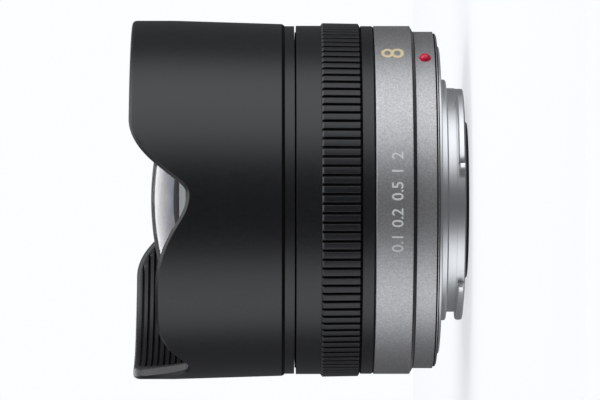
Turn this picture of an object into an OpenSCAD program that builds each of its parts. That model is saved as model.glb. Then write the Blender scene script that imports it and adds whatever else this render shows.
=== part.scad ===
// Fisheye prime lens for a mirrorless bayonet: fixed petal hood, focus by wire, inner focus.
// Millimetres. Z is the optical axis, +Z points to the subject, z = 0 is the mount flange.
// +Y is the side of the index dot, where a long petal of the hood stands.

/* [Barrel lengths] */
// bare rim of the mount plate under the collar
rim_h = 0.5; // [0.4:0.05:0.8]
// grey collar beside the mount
collar_w = 3.85; // [3:0.05:4.5]
// black bevelled accent ring
accent_w = 0.55; // [0.5:0.05:1]
// grey rear barrel
rear_barrel_w = 6.15; // [5.6:0.05:7]
// gap behind the focus ring
rear_gap = 0.25; // [0.2:0.01:0.4]
// plain band of the focus ring behind the grip
rear_band_w = 1.9; // [1.5:0.05:3]
// ribbed grip
grip_w = 6.7; // [6:0.05:9]
// plain band of the focus ring before the grip
front_band_w = 4.2; // [3.6:0.05:6]
// gap before the focus ring
front_gap = 0.3; // [0.2:0.01:0.5]
// black trim band behind the hood
trim_w = 1.6; // [1.2:0.05:2.5]
// hood barrel up to the tips of the long petals
hood_l = 25.7; // [24.5:0.1:30]

/* [Barrel diameters] */
// hood at its mouth, the widest place of the lens
hood_d = 60.7; // [60:0.1:64]
// hood at its rear edge
hood_rear_d = 59.6; // [58.8:0.1:62]
// trim band
trim_d = 58.9; // [58:0.1:60]
// plain front band of the focus ring
front_band_d = 59.0; // [58:0.1:60]
// plain rear band of the focus ring
rear_band_d = 58.9; // [58:0.1:60]
// grip over its ribs at the front end
grip_d = 59.9; // [59:0.1:61]
// grip over its ribs at the rear end
grip_rear_d = 59.7; // [58.8:0.1:61]
// grey rear barrel
rear_barrel_d = 58.94; // [58.2:0.02:60]
// grey collar
collar_d = 57.0; // [56:0.1:58]
// wall of the grey rear barrel over the chassis drum
barrel_wall = 1.47; // [1.2:0.01:1.6]
// wall of the grey collar and the accent ring over the chassis skirt
collar_wall = 1.7; // [1.5:0.05:1.9]

/* [Hood] */
// angle of each notch from the middle of a short petal
notch_angle = 36; // [34:0.1:38]
// depth of the notches below the tips of the long petals
notch_depth = 9.55; // [8:0.05:10.2]
// height by which the short petals stay below the long ones
short_drop = 4.35; // [3:0.05:6]
// width of a notch on its long petal side
notch_long_w = 12.5; // [11:0.1:14]
// width of a notch on its short petal side
notch_short_w = 15.5; // [14:0.1:17]
// length of the curve at the notch's floor, long petal side
foot_long = 2; // [1:0.1:3]
// length of the curve at the notch's floor, short petal side
foot_short = 3.8; // [2:0.1:4.5]
// length of the curve up to the tip of a long petal
tip_long = 8; // [5:0.1:8.5]
// length of the curve up to the edge of a short petal
tip_short = 10.2; // [7:0.1:10.5]
// wall of the hood
hood_wall = 1.75; // [1.5:0.05:1.9]
// pitch of the light ribs inside the hood
light_rib_pitch = 1.0; // [0.8:0.05:1.5]
// depth of the light ribs
light_rib_h = 0.4; // [0.2:0.05:0.6]

/* [Focus ring] */
// ribs around the grip
rib_n = 120; // [96:1:132]
// width of the grooves between ribs
rib_groove_w = 0.42; // [0.3:0.02:0.6]
// depth of the grooves between ribs
rib_groove_h = 0.5; // [0.3:0.05:0.7]
// wall of the grip below its grooves
grip_web = 1.0; // [0.8:0.05:1.15]
// wall of the focus sleeve under the grip
sleeve_wall = 1.1; // [0.9:0.05:1.3]
// height of the sleeve's bearing lands over its recess
land_h = 0.6; // [0.5:0.05:0.8]
// stripes on the encoder ring
encoder_n = 90; // [60:1:120]

/* [Chassis] */
// wall of the chassis tube
frame_wall = 1.4; // [1.2:0.05:1.8]
// wall of the chassis skirt inside the collar
skirt_wall = 1.2; // [1:0.05:1.3]
// lip of the chassis that carries the slide washer
lip_t = 0.5; // [0.4:0.05:0.8]
// edge of the lip beside the washer
lip_edge = 0.2; // [0.1:0.05:0.3]
// base plate of the chassis
base_t = 1.0; // [0.8:0.05:1.3]
// height of the shelf that carries the iris unit
shelf_z = 15.4; // [15.2:0.05:16]
// thickness of the shelf
shelf_t = 1.4; // [1.2:0.05:1.6]
// washer that the focus ring slides on
washer_t = 0.3; // [0.2:0.02:0.34]
// width of that washer
washer_w = 1.5; // [1:0.05:1.6]
// main board
board_t = 0.8; // [0.6:0.05:1]

/* [Mount] */
// register that centres the lens in the camera
register_d = 40.8; // [40:0.1:42]
// height of the register
register_h = 1.2; // [1:0.05:1.5]
// neck between register and lugs
neck_d = 37.9; // [37:0.1:38.4]
// lugs, measured across
lug_d = 40.6; // [40:0.1:40.8]
// thickness of the lugs
lug_t = 1.1; // [0.9:0.05:1.4]
// distance of the lugs' bearing face from the flange
lug_z = 2.85; // [2.6:0.05:3.2]
// length of the bayonet tube below the flange
tube_l = 4.1; // [4:0.05:4.8]
// bore of the bayonet tube
tube_bore_d = 33.8; // [33:0.1:34.6]
// step of the bayonet ring from its register out to the plate's bore, flush with the flange
ring_step = 0.4; // [0.35:0.05:0.5]
// height of the plate under the flange of the bayonet ring
plate_step = 0.6; // [0.5:0.05:0.7]
// width of that flange
ring_flange = 0.5; // [0.4:0.05:0.55]
// depth of the mount plate's step inside the collar
collar_floor = 0.8; // [0.6:0.05:1]
// rim of the mount plate
plate_d = 52; // [51:0.1:53]
// circle of the mount screws and of the lock pin hole
screw_circle_d = 45.8; // [45.4:0.1:46.4]
// thread of the mount screws
mount_screw_d = 1.6; // [1.4:0.1:1.8]
// hole for the camera's lock pin
lock_hole_d = 2.3; // [2:0.1:2.6]
// index dot
dot_d = 2.0; // [1.6:0.1:2.4]
// rear baffle across
baffle_d = 26.7; // [26:0.1:27]
// depth of the rear baffle below the flange
baffle_l = 4.8; // [4.6:0.05:5.4]
// wall of the rear baffle
baffle_wall = 1.4; // [1:0.1:1.8]
// light window of the rear baffle, long side
window_w = 15; // [13:0.1:16]
// light window of the rear baffle, short side
window_h = 11.5; // [10:0.1:13]
// electrical contacts
contact_n = 11; // [7:1:11]
// contact pin
contact_d = 1.1; // [0.9:0.05:1.3]

/* [Front optics] */
// set back of the front element behind the petal tips
front_setback = 3.1; // [2.6:0.1:4]
// front radius of the front element
e1_r1 = 45; // [42:0.5:50]
// rear radius of the front element
e1_r2 = 13.5; // [13:0.1:14.5]
// middle thickness of the front element
e1_t = 2.3; // [2:0.1:3]
// front element across
e1_d = 43.2; // [42:0.1:44]
// hollow of the front element, across
e1_hollow_d = 24; // [23:0.1:25]
// air behind the front element
air_1 = 6.3; // [6:0.1:6.6]
// front radius of the second element
e2_r1 = 26; // [24:0.5:30]
// rear radius of the second element
e2_r2 = 8.8; // [8.6:0.1:9.4]
// middle thickness of the second element
e2_t = 1.2; // [1:0.1:1.4]
// second element across
e2_d = 22; // [21.6:0.1:22.4]
// hollow of the second element, across
e2_hollow_d = 15.6; // [15:0.1:16.2]
// spacer between second and third element
spacer_t = 0.7; // [0.6:0.05:1]
// rear radius of the third element
e3_r2 = 11; // [10.5:0.1:12]
// middle thickness of the third element
e3_t = 0.9; // [0.8:0.05:1.2]
// third element across
e3_d = 17; // [16.8:0.1:17.6]
// hollow of the third element, across
e3_hollow_d = 12.4; // [12:0.1:13]
// air behind the third element
air_3 = 0.9; // [0.8:0.05:1]
// front radius of the fourth element
e4_r1 = 14; // [13.5:0.1:15]
// rear radius of the fourth element
e4_r2 = 20; // [19:0.5:24]
// middle thickness of the fourth element
e4_t = 5.4; // [5:0.1:5.8]
// fourth element across
e4_d = 15; // [14.4:0.1:15.2]
// seat plate under the front element
seat_t = 2.0; // [1.6:0.1:2.4]
// height of the seat's rim around the front element
seat_h = 2.0; // [1.8:0.1:2.4]
// wall of the front cell
cell_wall = 1.4; // [1.2:0.1:1.6]

/* [Iris] */
// floor of the iris housing
floor_t = 0.8; // [0.7:0.05:1]
// wall of the iris housing
house_wall = 0.8; // [0.7:0.05:1]
// screw ears of the iris housing
ear_d = 3; // [2.8:0.1:3.2]
// step from the housing's wall in to its spigot
spigot_step = 2.9; // [2.7:0.1:3]
// height of the spigot below the shelf's face
spigot_h = 1.2; // [1:0.05:1.3]
// thickness of the drive ring
ring_t = 0.75; // [0.6:0.05:0.9]
// room for the blades below and above their stack
blade_room = 0.2; // [0.15:0.01:0.25]
// cover of the iris unit
cover_t = 0.6; // [0.5:0.05:0.7]
// blades
blade_n = 7; // [7:1:7]
// circle of the blade pivots
pivot_circle_d = 24.8; // [24.4:0.1:25.2]
// distance of a blade's drive pin from its pivot
drive_arm = 2.6; // [2.4:0.1:2.8]
// pins of the blades
blade_pin_d = 0.8; // [0.7:0.05:0.9]
// thickness of a blade
blade_t = 0.1; // [0.08:0.01:0.12]
// step from one blade to the next
blade_pitch = 0.16; // [0.15:0.01:0.18]
// full aperture
stop_d = 9.6; // [9:0.1:10]
// width of the blades
blade_w = 4.8; // [4.4:0.1:5]
// turn of the drive ring from full to smallest aperture
iris_turn = 24; // [18:1:24]
// turn of a blade for each turn of the drive ring
blade_ratio = 0.75; // [0.7:0.01:0.78]
// gear module of the drive ring and its pinion
gear_m = 0.3; // [0.3:0.01:0.31]
// teeth on the full circle of the drive ring
ring_teeth = 100; // [98:2:102]
// teeth of the pinion
pinion_teeth = 14; // [12:2:16]
// iris motor across
iris_motor_d = 5.2; // [4.8:0.1:5.6]
// length of the iris motor
iris_motor_l = 6; // [5:0.1:8]

/* [Focus drive] */
// air between the fifth and the sixth element in the middle of the travel
air_5 = 1.6; // [1.4:0.05:1.7]
// thickness of the drive nut
nut_t = 1.8; // [1.5:0.1:2]
// distance of the nut below the iris spigot
nut_drop = 4.3; // [4:0.1:4.4]
// room of the nut above the lower bearing of the lead screw
nut_room = 2.2; // [2:0.1:2.3]
// focus travel to each side
focus_travel = 1.0; // [0.6:0.05:1]
// circle of the guide rods
rod_circle_d = 23; // [22.6:0.1:23.4]
// guide rods
rod_d = 1.5; // [1.3:0.05:1.6]
// lead screw
screw_d = 1.5; // [1.3:0.05:1.6]
// pitch of the lead screw
screw_pitch = 0.5; // [0.4:0.05:0.6]
// distance of the lead screw from the optical axis
screw_r = 21; // [20.9:0.1:21.1]
// focus motor across
focus_motor_d = 6; // [5.4:0.1:6.2]
// length of the focus motor
focus_motor_l = 5; // [4:0.1:5.2]
// sheet of the lead screw bracket
bracket_t = 0.7; // [0.5:0.05:0.8]
// focus elements across
e6_d = 12.8; // [12.4:0.1:13]
// front radius of the sixth element
e6_r1 = 30; // [28:0.5:36]
// middle thickness of the sixth element
e6_t = 1.0; // [0.8:0.05:1.1]
// cemented face between sixth and seventh element
e7_r1 = 12; // [11.6:0.1:13]
// middle thickness of the seventh element
e7_t = 3.4; // [3.3:0.05:3.6]
// rear radius of the seventh element
e7_r2 = 20; // [19:0.5:24]

/* [Rear optics] */
// flange of the rear cell
flange_t = 1.5; // [1.3:0.05:1.6]
// wall of the rear cell around its glass
rear_cell_wall = 3.1; // [2.8:0.1:3.2]
// fifth element across
e5_d = 10.8; // [10.6:0.1:11]
// both radii of the fifth element
e5_r = 16; // [15:0.5:18]
// middle thickness of the fifth element
e5_t = 2.4; // [2.3:0.05:2.5]
// rear elements across
e8_d = 13; // [12.6:0.1:13.2]
// front radius of the eighth element
e8_r1 = 15; // [14.5:0.5:18]
// rear radius of the eighth element
e8_r2 = 18; // [17:0.5:20]
// middle thickness of the eighth element
e8_t = 3.2; // [3.1:0.05:3.3]
// height of the eighth element's front over the flange
e8_z = 6.6; // [6.4:0.05:6.7]
// air behind the eighth element
air_8 = 1.0; // [0.9:0.05:1.1]
// both radii of the ninth element
e9_r = 25; // [24:0.5:30]
// middle thickness of the ninth element
e9_t = 0.9; // [0.8:0.05:1]
// air behind the ninth element
air_9 = 1.1; // [0.9:0.05:1.2]
// front radius of the tenth element
e10_r1 = 22; // [21:0.5:26]
// rear radius of the tenth element
e10_r2 = 60; // [50:1:80]
// middle thickness of the tenth element
e10_t = 3.0; // [2.8:0.05:3.1]

/* [Fits] */
// radial clearance of seated parts
fit = 0.04; // [0.02:0.01:0.05]
// radial clearance of running parts
run = 0.08; // [0.05:0.01:0.1]

/* [Hidden] */
$fn = 128;
eps = 0.01;

// stack of the outer pieces, from the flange up
accent_z = rim_h + collar_w;
rear_z = accent_z + accent_w;
rear_top = rear_z + rear_barrel_w;
ring_z = rear_top + rear_gap;
grip_z = ring_z + rear_band_w;
grip_top = grip_z + grip_w;
ring_top = grip_top + front_band_w;
trim_z = ring_top + front_gap;
hood_z = trim_z + trim_w;
hood_top = hood_z + hood_l;

// radii of the chassis, from the focus ring inward
sleeve_r = grip_rear_d/2 - grip_web - rib_groove_h/2;
recess_r = sleeve_r - sleeve_wall;
tube_r = recess_r - land_h - run;
bore_r = tube_r - frame_wall;
plate_top = rim_h + collar_floor;
base_top = plate_top + base_t;
drum_r = rear_barrel_d/2 - barrel_wall;
washer_r = tube_r + run + washer_w;
lip_r = washer_r + lip_edge;
skirt_r = min(collar_d, rear_barrel_d)/2 - collar_wall;
low_bore_r = min(bore_r, drum_r - frame_wall);
base_bore_r = min(low_bore_r, skirt_r - fit - skirt_wall);
step_z = rear_z + skirt_wall*0.75;
shoulder_z = rear_top - 0.15;

// front optics, from the petal tips down
e1_z = hood_top - front_setback;
e1_back = e1_z - e1_t;
seat_z = e1_back - e1_r2 + sqrt(pow(e1_r2, 2) - pow(e1_hollow_d/2, 2));
head_z = seat_z - seat_t;
head_top = seat_z + seat_h;
e2_z = e1_back - air_1;
e2_back = e2_z - e2_t;
e2_seat = e2_back - e2_r2 + sqrt(pow(e2_r2, 2) - pow(e2_hollow_d/2, 2));
e3_z = e2_seat - spacer_t;
e3_back = e3_z - e3_t;
e3_seat = e3_back - e3_r2 + sqrt(pow(e3_r2, 2) - pow(e3_hollow_d/2, 2));
e4_z = e3_back - air_3;
e4_back = e4_z - e4_t;
e4_edge = e4_z - sag(e4_r1, e4_d/2);
e4_rim = e4_back + sag(e4_r2, e4_d/2);
cell_r = e2_d/2 + 1 + cell_wall;
cell_low_r = e3_d/2 + cell_wall;
cell_z = e4_back - 0.6;
wall_r = hood_rear_d/2 - hood_wall - fit;

// iris unit, on the shelf
iris_floor = shelf_z + floor_t;
ring_bot = iris_floor + run;
ring_up = ring_bot + ring_t;
blade_z = ring_up + blade_room;
cover_z = blade_z + blade_n*blade_pitch + blade_room;
boss_r = pivot_circle_d/2 - 2;
pitch_r = ring_teeth*gear_m/2;
pinion_r = pinion_teeth*gear_m/2;
gear_add = 0.85*gear_m;
gear_ded = 1.15*gear_m;
root_r = pitch_r - gear_ded;
house_in = pitch_r + gear_add + 1.3;
house_r = house_in + house_wall;
ear_r = house_r + ear_d/3;
iris_motor_r = pitch_r + pinion_r;
iris_motor_a = 315;
spigot_r = house_r - spigot_step;
spigot_z = shelf_z - spigot_h;
ear_angles = [30, 150, 270];

// focus unit, below the shelf
focus_a = 225;
e5_z = spigot_z + e5_t;
e6_z = spigot_z - air_5;
e7_z = e6_z - e6_t;
e7_back = e7_z - e7_t;
e6_edge = e6_z - sag(e6_r1, e6_d/2);
carriage_z = e7_back + sag(e7_r2, e6_d/2) - 0.25;
carriage_top = e6_edge + 0.5;
carriage_r = e6_d/2 + 1.8;
sleeve_top = spigot_z - focus_travel - 0.2;
nut_z = spigot_z - nut_drop;
bracket_z = nut_z - focus_travel - bracket_t - nut_room;
screw_low = bracket_z + 0.1;
screw_up = shelf_z + 0.8;

// rear optics, from the eighth element down
e8_back = e8_z - e8_t;
e8_edge = e8_z - sag(e8_r1, e8_d/2);
e8_rim = e8_back + sag(e8_r2, e8_d/2);
e9_z = e8_back - air_8;
e9_back = e9_z - e9_t;
e9_edge = e9_z + sag(e9_r, e8_d/2 - 0.4);
e9_rim = e9_back - sag(e9_r, e8_d/2 - 0.4);
e10_z = e9_back - air_9;
e10_back = e10_z - e10_t;
e10_edge = e10_z - sag(e10_r1, e8_d/2);
e10_rim = e10_back + sag(e10_r2, e8_d/2);
rear_cell_z = e10_rim - 1;
rear_cell_r = e8_d/2 + rear_cell_wall;
flange_top = base_top + flange_t;
flange_r = rod_circle_d/2 + 3.5;
board_z = flange_top - 0.7;

// places around the mount
screw_angles = [45, 135, 225, 315];
lock_a = 10;
contact_a = 270;
contact_step = 8.5;
contact_r = (baffle_d + tube_bore_d)/4;
cell_screw_r = cell_r + 3.2;
cell_screw_angles = [90, 210, 330];
spigot_in_r = register_d/2 + ring_step;
ring_flange_r = spigot_in_r + ring_flange;
lug_spans = [[52.6, 43.7], [-69.7, 57.5], [163, 55]];
stop_span = [47.3, 4.6];

// height of a spherical cap of radius r at half width h
function sag(r, h) = r - sqrt(pow(r, 2) - pow(h, 2));

// height gained at the distance t up a flank h high and w wide: a curve of length a, a straight
// run and a curve of length b, each tangent to the next
function climb(t, h, w, a, b) = let (m = h/(w - (a + b)/2), u = min(t, w))
    u < a ? m*u*u/(2*a) : u < w - b ? m*(u - a/2) : h - m*(w - u)*(w - u)/(2*b);

// edge of the hood beside a notch, at the tangential distance t from the notch
function notch_edge(t) = t >= 0
    ? -notch_depth + climb(t, notch_depth, notch_long_w, foot_long, tip_long)
    : -notch_depth + climb(-t, notch_depth - short_drop, notch_short_w, foot_short, tip_short);
function notch_end() = hood_d/2*sin(notch_angle) + 0.5;

// angle of an involute above its base circle, in degrees
function involute(rb, r) = r <= rb ? 0 : tan(acos(rb/r))*180/PI - acos(rb/r);

// half angle of a gear tooth at radius r, thinned for backlash
function tooth_half(n, r) = 90/n - 2.4/n + involute(n*gear_m/2*cos(20), n*gear_m/2)
    - involute(n*gear_m/2*cos(20), r);

// one gear tooth pointing to angle a
function tooth(n, a) =
    let (r0 = n*gear_m/2 - gear_ded - 0.1, r1 = n*gear_m/2 + gear_add)
    concat([for (k = [0:6]) let (r = r0 + (r1 - r0)*k/6) polar(r, a - tooth_half(n, r))],
        [for (k = [6:-1:0]) let (r = r0 + (r1 - r0)*k/6) polar(r, a + tooth_half(n, r))]);
function polar(r, a) = [r*cos(a), r*sin(a)];
function turned(p, a) = [p[0]*cos(a) - p[1]*sin(a), p[0]*sin(a) + p[1]*cos(a)];

// place of a blade's drive pin on the drive ring after the ring has turned by a
function cam(a) = turned([pivot_circle_d/2, 0] + turned([0, drive_arm], -blade_ratio*a), -a);
function cam_side(a) = let (d = cam(a + 0.5) - cam(a - 0.5)) [-d[1], d[0]]/norm(d);

module turn(a) {
    rotate([0, 0, a]) children();
}

module tube(r, bore, z, top) {
    difference() {
        translate([0, 0, z]) cylinder(r = r, h = top - z);
        translate([0, 0, z - 1]) cylinder(r = bore, h = top - z + 2);
    }
}

module rod(r, z, top) {
    translate([0, 0, z]) cylinder(r = r, h = top - z);
}

module ball(r, z) {
    translate([0, 0, z]) sphere(r = r, $fn = 200);
}

// radial bar from radius r0 to r1
module bar(r0, r1, w, z, top) {
    translate([r0, -w/2, z]) cube([r1 - r0, w, top - z]);
}

// sector of a ring, a wide from the angle a0
module sector(r, bore, z, top, a0, a) {
    turn(a0) rotate_extrude(angle = a) translate([bore, z]) square([r - bore, top - z]);
}

// HOOD AND FRONT

module hood_barrel() {
    ribs = floor((hood_top - 1.2 - head_top)/light_rib_pitch);
    low_r = hood_rear_d/2;
    top_r = hood_d/2;
    rim = 0.7;
    in_r = top_r - hood_wall;
    color([0.13, 0.13, 0.14]) difference() {
        rotate_extrude() polygon(concat(
            [[wall_r + fit, hood_z], [low_r - 0.35, hood_z], [low_r, hood_z + 0.35]],
            [[top_r, hood_z + hood_l*0.72]],
            [for (k = [0:6]) [top_r - rim + rim*cos(15*k), hood_top - rim + rim*sin(15*k)]],
            [[in_r - light_rib_h, hood_top], [in_r - light_rib_h, hood_top - 1]],
            [for (i = [0:ribs - 1]) for (k = [0:3])
                let (down = (i + [0, 0.3, 0.45, 1][k])*light_rib_pitch)
                [in_r - (k > 1 ? light_rib_h : 0), hood_top - 1 - down]],
            [[wall_r + fit, hood_top - 1 - ribs*light_rib_pitch]]));
        for (half = [0, 180]) for (side = [0, 1]) turn(half) mirror([0, side, 0]) turn(notch_angle)
            translate([in_r/2, 0, hood_top]) rotate([90, 0, 90]) linear_extrude(in_r)
                polygon(concat([[notch_long_w, 2], [-notch_end(), 2], [-notch_end(), -short_drop]],
                    [for (k = [-24:24]) let (t = k < 0 ? k/24*notch_short_w : k/24*notch_long_w)
                        [t, notch_edge(t)]]));
    }
}

module front_frame() {
    neck_r = bore_r - fit;
    color([0.15, 0.15, 0.16]) difference() {
        rotate_extrude() polygon([
            [neck_r - 1.3, trim_z - 2.5], [neck_r, trim_z - 2.5], [neck_r, trim_z], [trim_d/2, trim_z],
            [trim_d/2, hood_z], [wall_r, hood_z], [wall_r, head_top], [e1_d/2 + fit, head_top],
            [e1_d/2 + fit, seat_z], [cell_r + fit, seat_z], [cell_r + fit, head_z],
            [wall_r - 1.4, head_z], [wall_r - 1.4, hood_z], [neck_r - 1.3, hood_z]]);
        tube(e1_d/2 + 2.9, e1_d/2 + 1.4, seat_z + 0.3, head_top + 1);
        for (a = cell_screw_angles) turn(a) translate([cell_screw_r, 0, 0])
            rod(0.8 + fit, head_z - 1, head_z + 1.5);
        for (a = cell_screw_angles) turn(a) translate([0, 0, trim_z - 1.2]) rotate([0, 90, 0])
            rod(0.7 + fit, neck_r - 2, tube_r);
    }
}

module front_retaining_ring() {
    in_r = e1_d/2 - 0.4;
    lip_z = e1_z - sag(e1_r1, in_r) + 0.15;
    color([0.2, 0.2, 0.21]) difference() {
        rotate_extrude() polygon([
            [in_r, lip_z], [e1_d/2 + 0.6, lip_z], [e1_d/2 + 3.3, lip_z - 1.1], [e1_d/2 + 3.3, head_top],
            [e1_d/2 + 2.9 - fit, head_top], [e1_d/2 + 2.9 - fit, seat_z + 0.4],
            [e1_d/2 + 1.4 + fit, seat_z + 0.4], [e1_d/2 + 1.4 + fit, head_top],
            [e1_d/2 + fit, head_top], [e1_d/2 + fit, head_top + 0.6], [in_r, head_top + 0.6]]);
        rod(e1_d/2 + fit, head_top - 1, e1_z - sag(e1_r1, e1_d/2));
        intersection() {
            rod(e1_d/2 + fit, head_top - 1, e1_z);
            ball(e1_r1 + 0.02, e1_z - e1_r1);
        }
    }
}

module front_element() {
    color([0.6, 0.7, 0.75, 0.5]) difference() {
        intersection() {
            rod(e1_d/2, seat_z, e1_z + 1);
            ball(e1_r1, e1_z - e1_r1);
        }
        ball(e1_r2, e1_back - e1_r2);
    }
}

module front_cell() {
    color([0.16, 0.16, 0.17]) difference() {
        union() {
            rod(cell_r, e3_seat - 1, seat_z - 0.4);
            rod(cell_r + 5.2, head_z - 1.2, head_z);
            rod(cell_low_r, cell_z, e3_seat);
        }
        rod(e2_d/2 + 1, e2_seat + 2, seat_z + 1);
        rod(e2_d/2 + fit, e2_seat, seat_z + 1);
        rod(e3_d/2 + fit, e3_seat, e2_seat + 1);
        rod(e3_hollow_d/2 + 0.1, e4_edge - 1, e3_seat + 1);
        rod(e4_d/2 + fit, cell_z - 1, e4_edge);
        intersection() {
            ball(e4_r1 + 0.02, e4_z - e4_r1);
            rod(e4_d/2, e4_edge - 1, e4_z);
        }
        for (a = cell_screw_angles) turn(a) translate([cell_screw_r, 0, 0])
            rod(0.8 + fit, head_z - 2, head_z + 1);
    }
}

module second_element() {
    color([0.6, 0.72, 0.75, 0.5]) difference() {
        intersection() {
            rod(e2_d/2, e2_seat, e2_z + 1);
            ball(e2_r1, e2_z - e2_r1);
        }
        ball(e2_r2, e2_back - e2_r2);
    }
}

module second_retainer() {
    in_r = e2_d/2 - 0.6;
    low = e2_z - sag(e2_r1, e2_d/2);
    color([0.2, 0.2, 0.21]) difference() {
        tube(e2_d/2 + 1 - fit, in_r, low, low + 1);
        ball(e2_r1 + 0.02, e2_z - e2_r1);
    }
}

module third_element() {
    color([0.6, 0.72, 0.75, 0.5]) difference() {
        rod(e3_d/2, e3_seat, e3_z);
        ball(e3_r2, e3_back - e3_r2);
    }
}

module third_spacer() {
    color([0.2, 0.2, 0.21]) tube(e3_d/2, e2_hollow_d/2 + 0.1, e3_z, e2_seat);
}

module fourth_element() {
    color([0.6, 0.72, 0.75, 0.5]) intersection() {
        rod(e4_d/2, e4_back - 1, e4_z + 1);
        ball(e4_r1, e4_z - e4_r1);
        ball(e4_r2, e4_back + e4_r2);
    }
}

module fourth_retainer() {
    color([0.2, 0.2, 0.21]) difference() {
        tube(e4_d/2, e4_d/2 - 1.2, cell_z + 0.2, e4_rim);
        ball(e4_r2 + 0.02, e4_back + e4_r2);
    }
}

module cell_screws() {
    color([0.6, 0.6, 0.62]) for (a = cell_screw_angles) turn(a) translate([cell_screw_r, 0, 0]) {
        rod(1.4, head_z - 2, head_z - 1.2);
        rod(0.8, head_z - 2, head_z + 1.4);
    }
}

// CHASSIS

module main_frame() {
    boss_d = mount_screw_d + 1.4;
    color([0.17, 0.17, 0.18]) difference() {
        union() {
            difference() {
                union() {
                    rod(skirt_r - fit, plate_top, rear_z);
                    rod(drum_r, rear_z, shoulder_z - lip_t);
                    rod(lip_r, shoulder_z - lip_t, shoulder_z);
                    rod(tube_r, shoulder_z, trim_z);
                }
                rod(rear_cell_r + fit, plate_top - 1, base_top + 1);
                rod(base_bore_r, base_top, step_z);
                rod(low_bore_r, step_z, shelf_z - shelf_t);
                rod(spigot_r + fit, shelf_z - shelf_t - 1, shelf_z + 1);
                rod(bore_r, shelf_z, trim_z + 1);
            }
            intersection() {
                rod(skirt_r - fit, plate_top, rear_z);
                for (a = screw_angles) turn(a) translate([screw_circle_d/2, 0, 0])
                    rod(boss_d/2, base_top - 0.5, base_top + 2.1);
            }
            for (a = [0, 120, 240]) turn(a) translate([flange_r + 3.4, 0, 0])
                rod(1.2, base_top - 0.5, board_z);
        }
        for (a = screw_angles) turn(a) translate([screw_circle_d/2, 0, 0])
            rod(mount_screw_d/2 + fit, plate_top - 1, base_top + 1.8);
        for (a = ear_angles) turn(a) translate([ear_r, 0, 0])
            rod(0.6 + fit, shelf_z - shelf_t - 1, shelf_z + 1);
        for (a = cell_screw_angles) turn(a) translate([0, 0, trim_z - 1.2]) rotate([0, 90, 0])
            rod(0.7 + fit, bore_r - 1, tube_r + 1);
        turn(focus_a) translate([screw_r, 0, 0])
            rod(screw_d/2 + 0.4, shelf_z - shelf_t - 1, shelf_z + 1);
        turn(iris_motor_a) translate([iris_motor_r, 0, 0])
            rod(0.9, shelf_z - shelf_t - 1, shelf_z + 1);
        turn(focus_a + 90) bar(bore_r - 1, tube_r + 1, 5.2, grip_z + 3, grip_z + 6);
    }
}

module frame_screws() {
    color([0.6, 0.6, 0.62]) for (a = cell_screw_angles) turn(a) translate([0, 0, trim_z - 1.2])
        rotate([0, 90, 0]) rod(0.7, bore_r - 1.2, tube_r - 0.1);
}

module slide_washer() {
    color([0.85, 0.85, 0.83]) tube(washer_r, tube_r + run, shoulder_z, shoulder_z + washer_t);
}

module encoder_sensor() {
    color([0.1, 0.1, 0.1]) turn(focus_a + 90) bar(bore_r - 1.4, tube_r - 0.1, 5, grip_z + 3, grip_z + 5.8);
}

module main_board() {
    color([0.08, 0.25, 0.14]) union() {
        tube(screw_circle_d/2 - 1.9, flange_r + 0.6, board_z, board_z + board_t);
        for (a = [40, 100, 160, 260]) turn(a)
            bar(flange_r + 1, screw_circle_d/2 - 3, 4.5, board_z + board_t - eps, board_z + board_t + 0.8);
    }
}

// FOCUS RING

module focus_sleeve() {
    land_r = tube_r + run;
    low = ring_z;
    color([0.14, 0.14, 0.15]) rotate_extrude() polygon([
        [land_r, low], [rear_band_d/2 - 0.15, low], [rear_band_d/2, low + 0.15], [rear_band_d/2, grip_z],
        [sleeve_r, grip_z], [sleeve_r, grip_top], [front_band_d/2, grip_top],
        [front_band_d/2, ring_top - 0.15], [front_band_d/2 - 0.15, ring_top], [land_r, ring_top],
        [land_r, grip_top + 1.6], [recess_r, grip_top + 1], [recess_r, grip_z + 1.6], [land_r, grip_z + 1]]);
}

module focus_grip() {
    crest = grip_d/2;
    root = grip_rear_d/2 - rib_groove_h;
    half_top = rib_groove_w/2/crest*180/PI;
    half_low = half_top*0.6;
    color([0.11, 0.11, 0.12]) difference() {
        intersection() {
            translate([0, 0, grip_z]) linear_extrude(grip_w) polygon([for (i = [0:rib_n - 1])
                for (k = [0:3]) polar(k == 0 || k == 3 ? crest + 0.3 : root,
                    (i*360/rib_n) + [-half_top*1.3, -half_low, half_low, half_top*1.3][k])]);
            rotate_extrude() polygon([
                [0, grip_z], [root + 0.05, grip_z], [grip_rear_d/2, grip_z + 0.45],
                [crest, grip_top - 0.3], [crest - 0.3, grip_top], [0, grip_top]]);
        }
        rod(sleeve_r + fit, grip_z - 1, grip_top + 1);
    }
}

module encoder_ring() {
    low = grip_z + 2.4;
    top = grip_top - 0.6;
    in_r = recess_r - 0.35;
    color([0.7, 0.7, 0.72]) difference() {
        rod(recess_r - fit, low, top);
        translate([0, 0, low - 1]) linear_extrude(top - low + 2) polygon([for (i = [0:encoder_n - 1])
            for (k = [0:3]) polar(k == 0 || k == 3 ? in_r : in_r + 0.15,
                (i + k*0.25 - 0.375)*360/encoder_n)]);
    }
}

// REAR BARREL AND MOUNT

module rear_barrel() {
    r = rear_barrel_d/2;
    color([0.62, 0.61, 0.6]) difference() {
        rotate_extrude() polygon([
            [drum_r + fit, rear_z], [r - 0.1, rear_z], [r, rear_z + 0.1], [r, rear_top - 0.2],
            [r - 0.2, rear_top], [drum_r + fit, rear_top]]);
        rod(lip_r + fit, shoulder_z - lip_t, rear_top + 1);
    }
}

module accent_ring() {
    color([0.05, 0.05, 0.05]) rotate_extrude() polygon([
        [skirt_r, accent_z], [collar_d/2 - 0.1, accent_z], [rear_barrel_d/2 - 0.1, rear_z],
        [skirt_r, rear_z]]);
}

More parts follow.
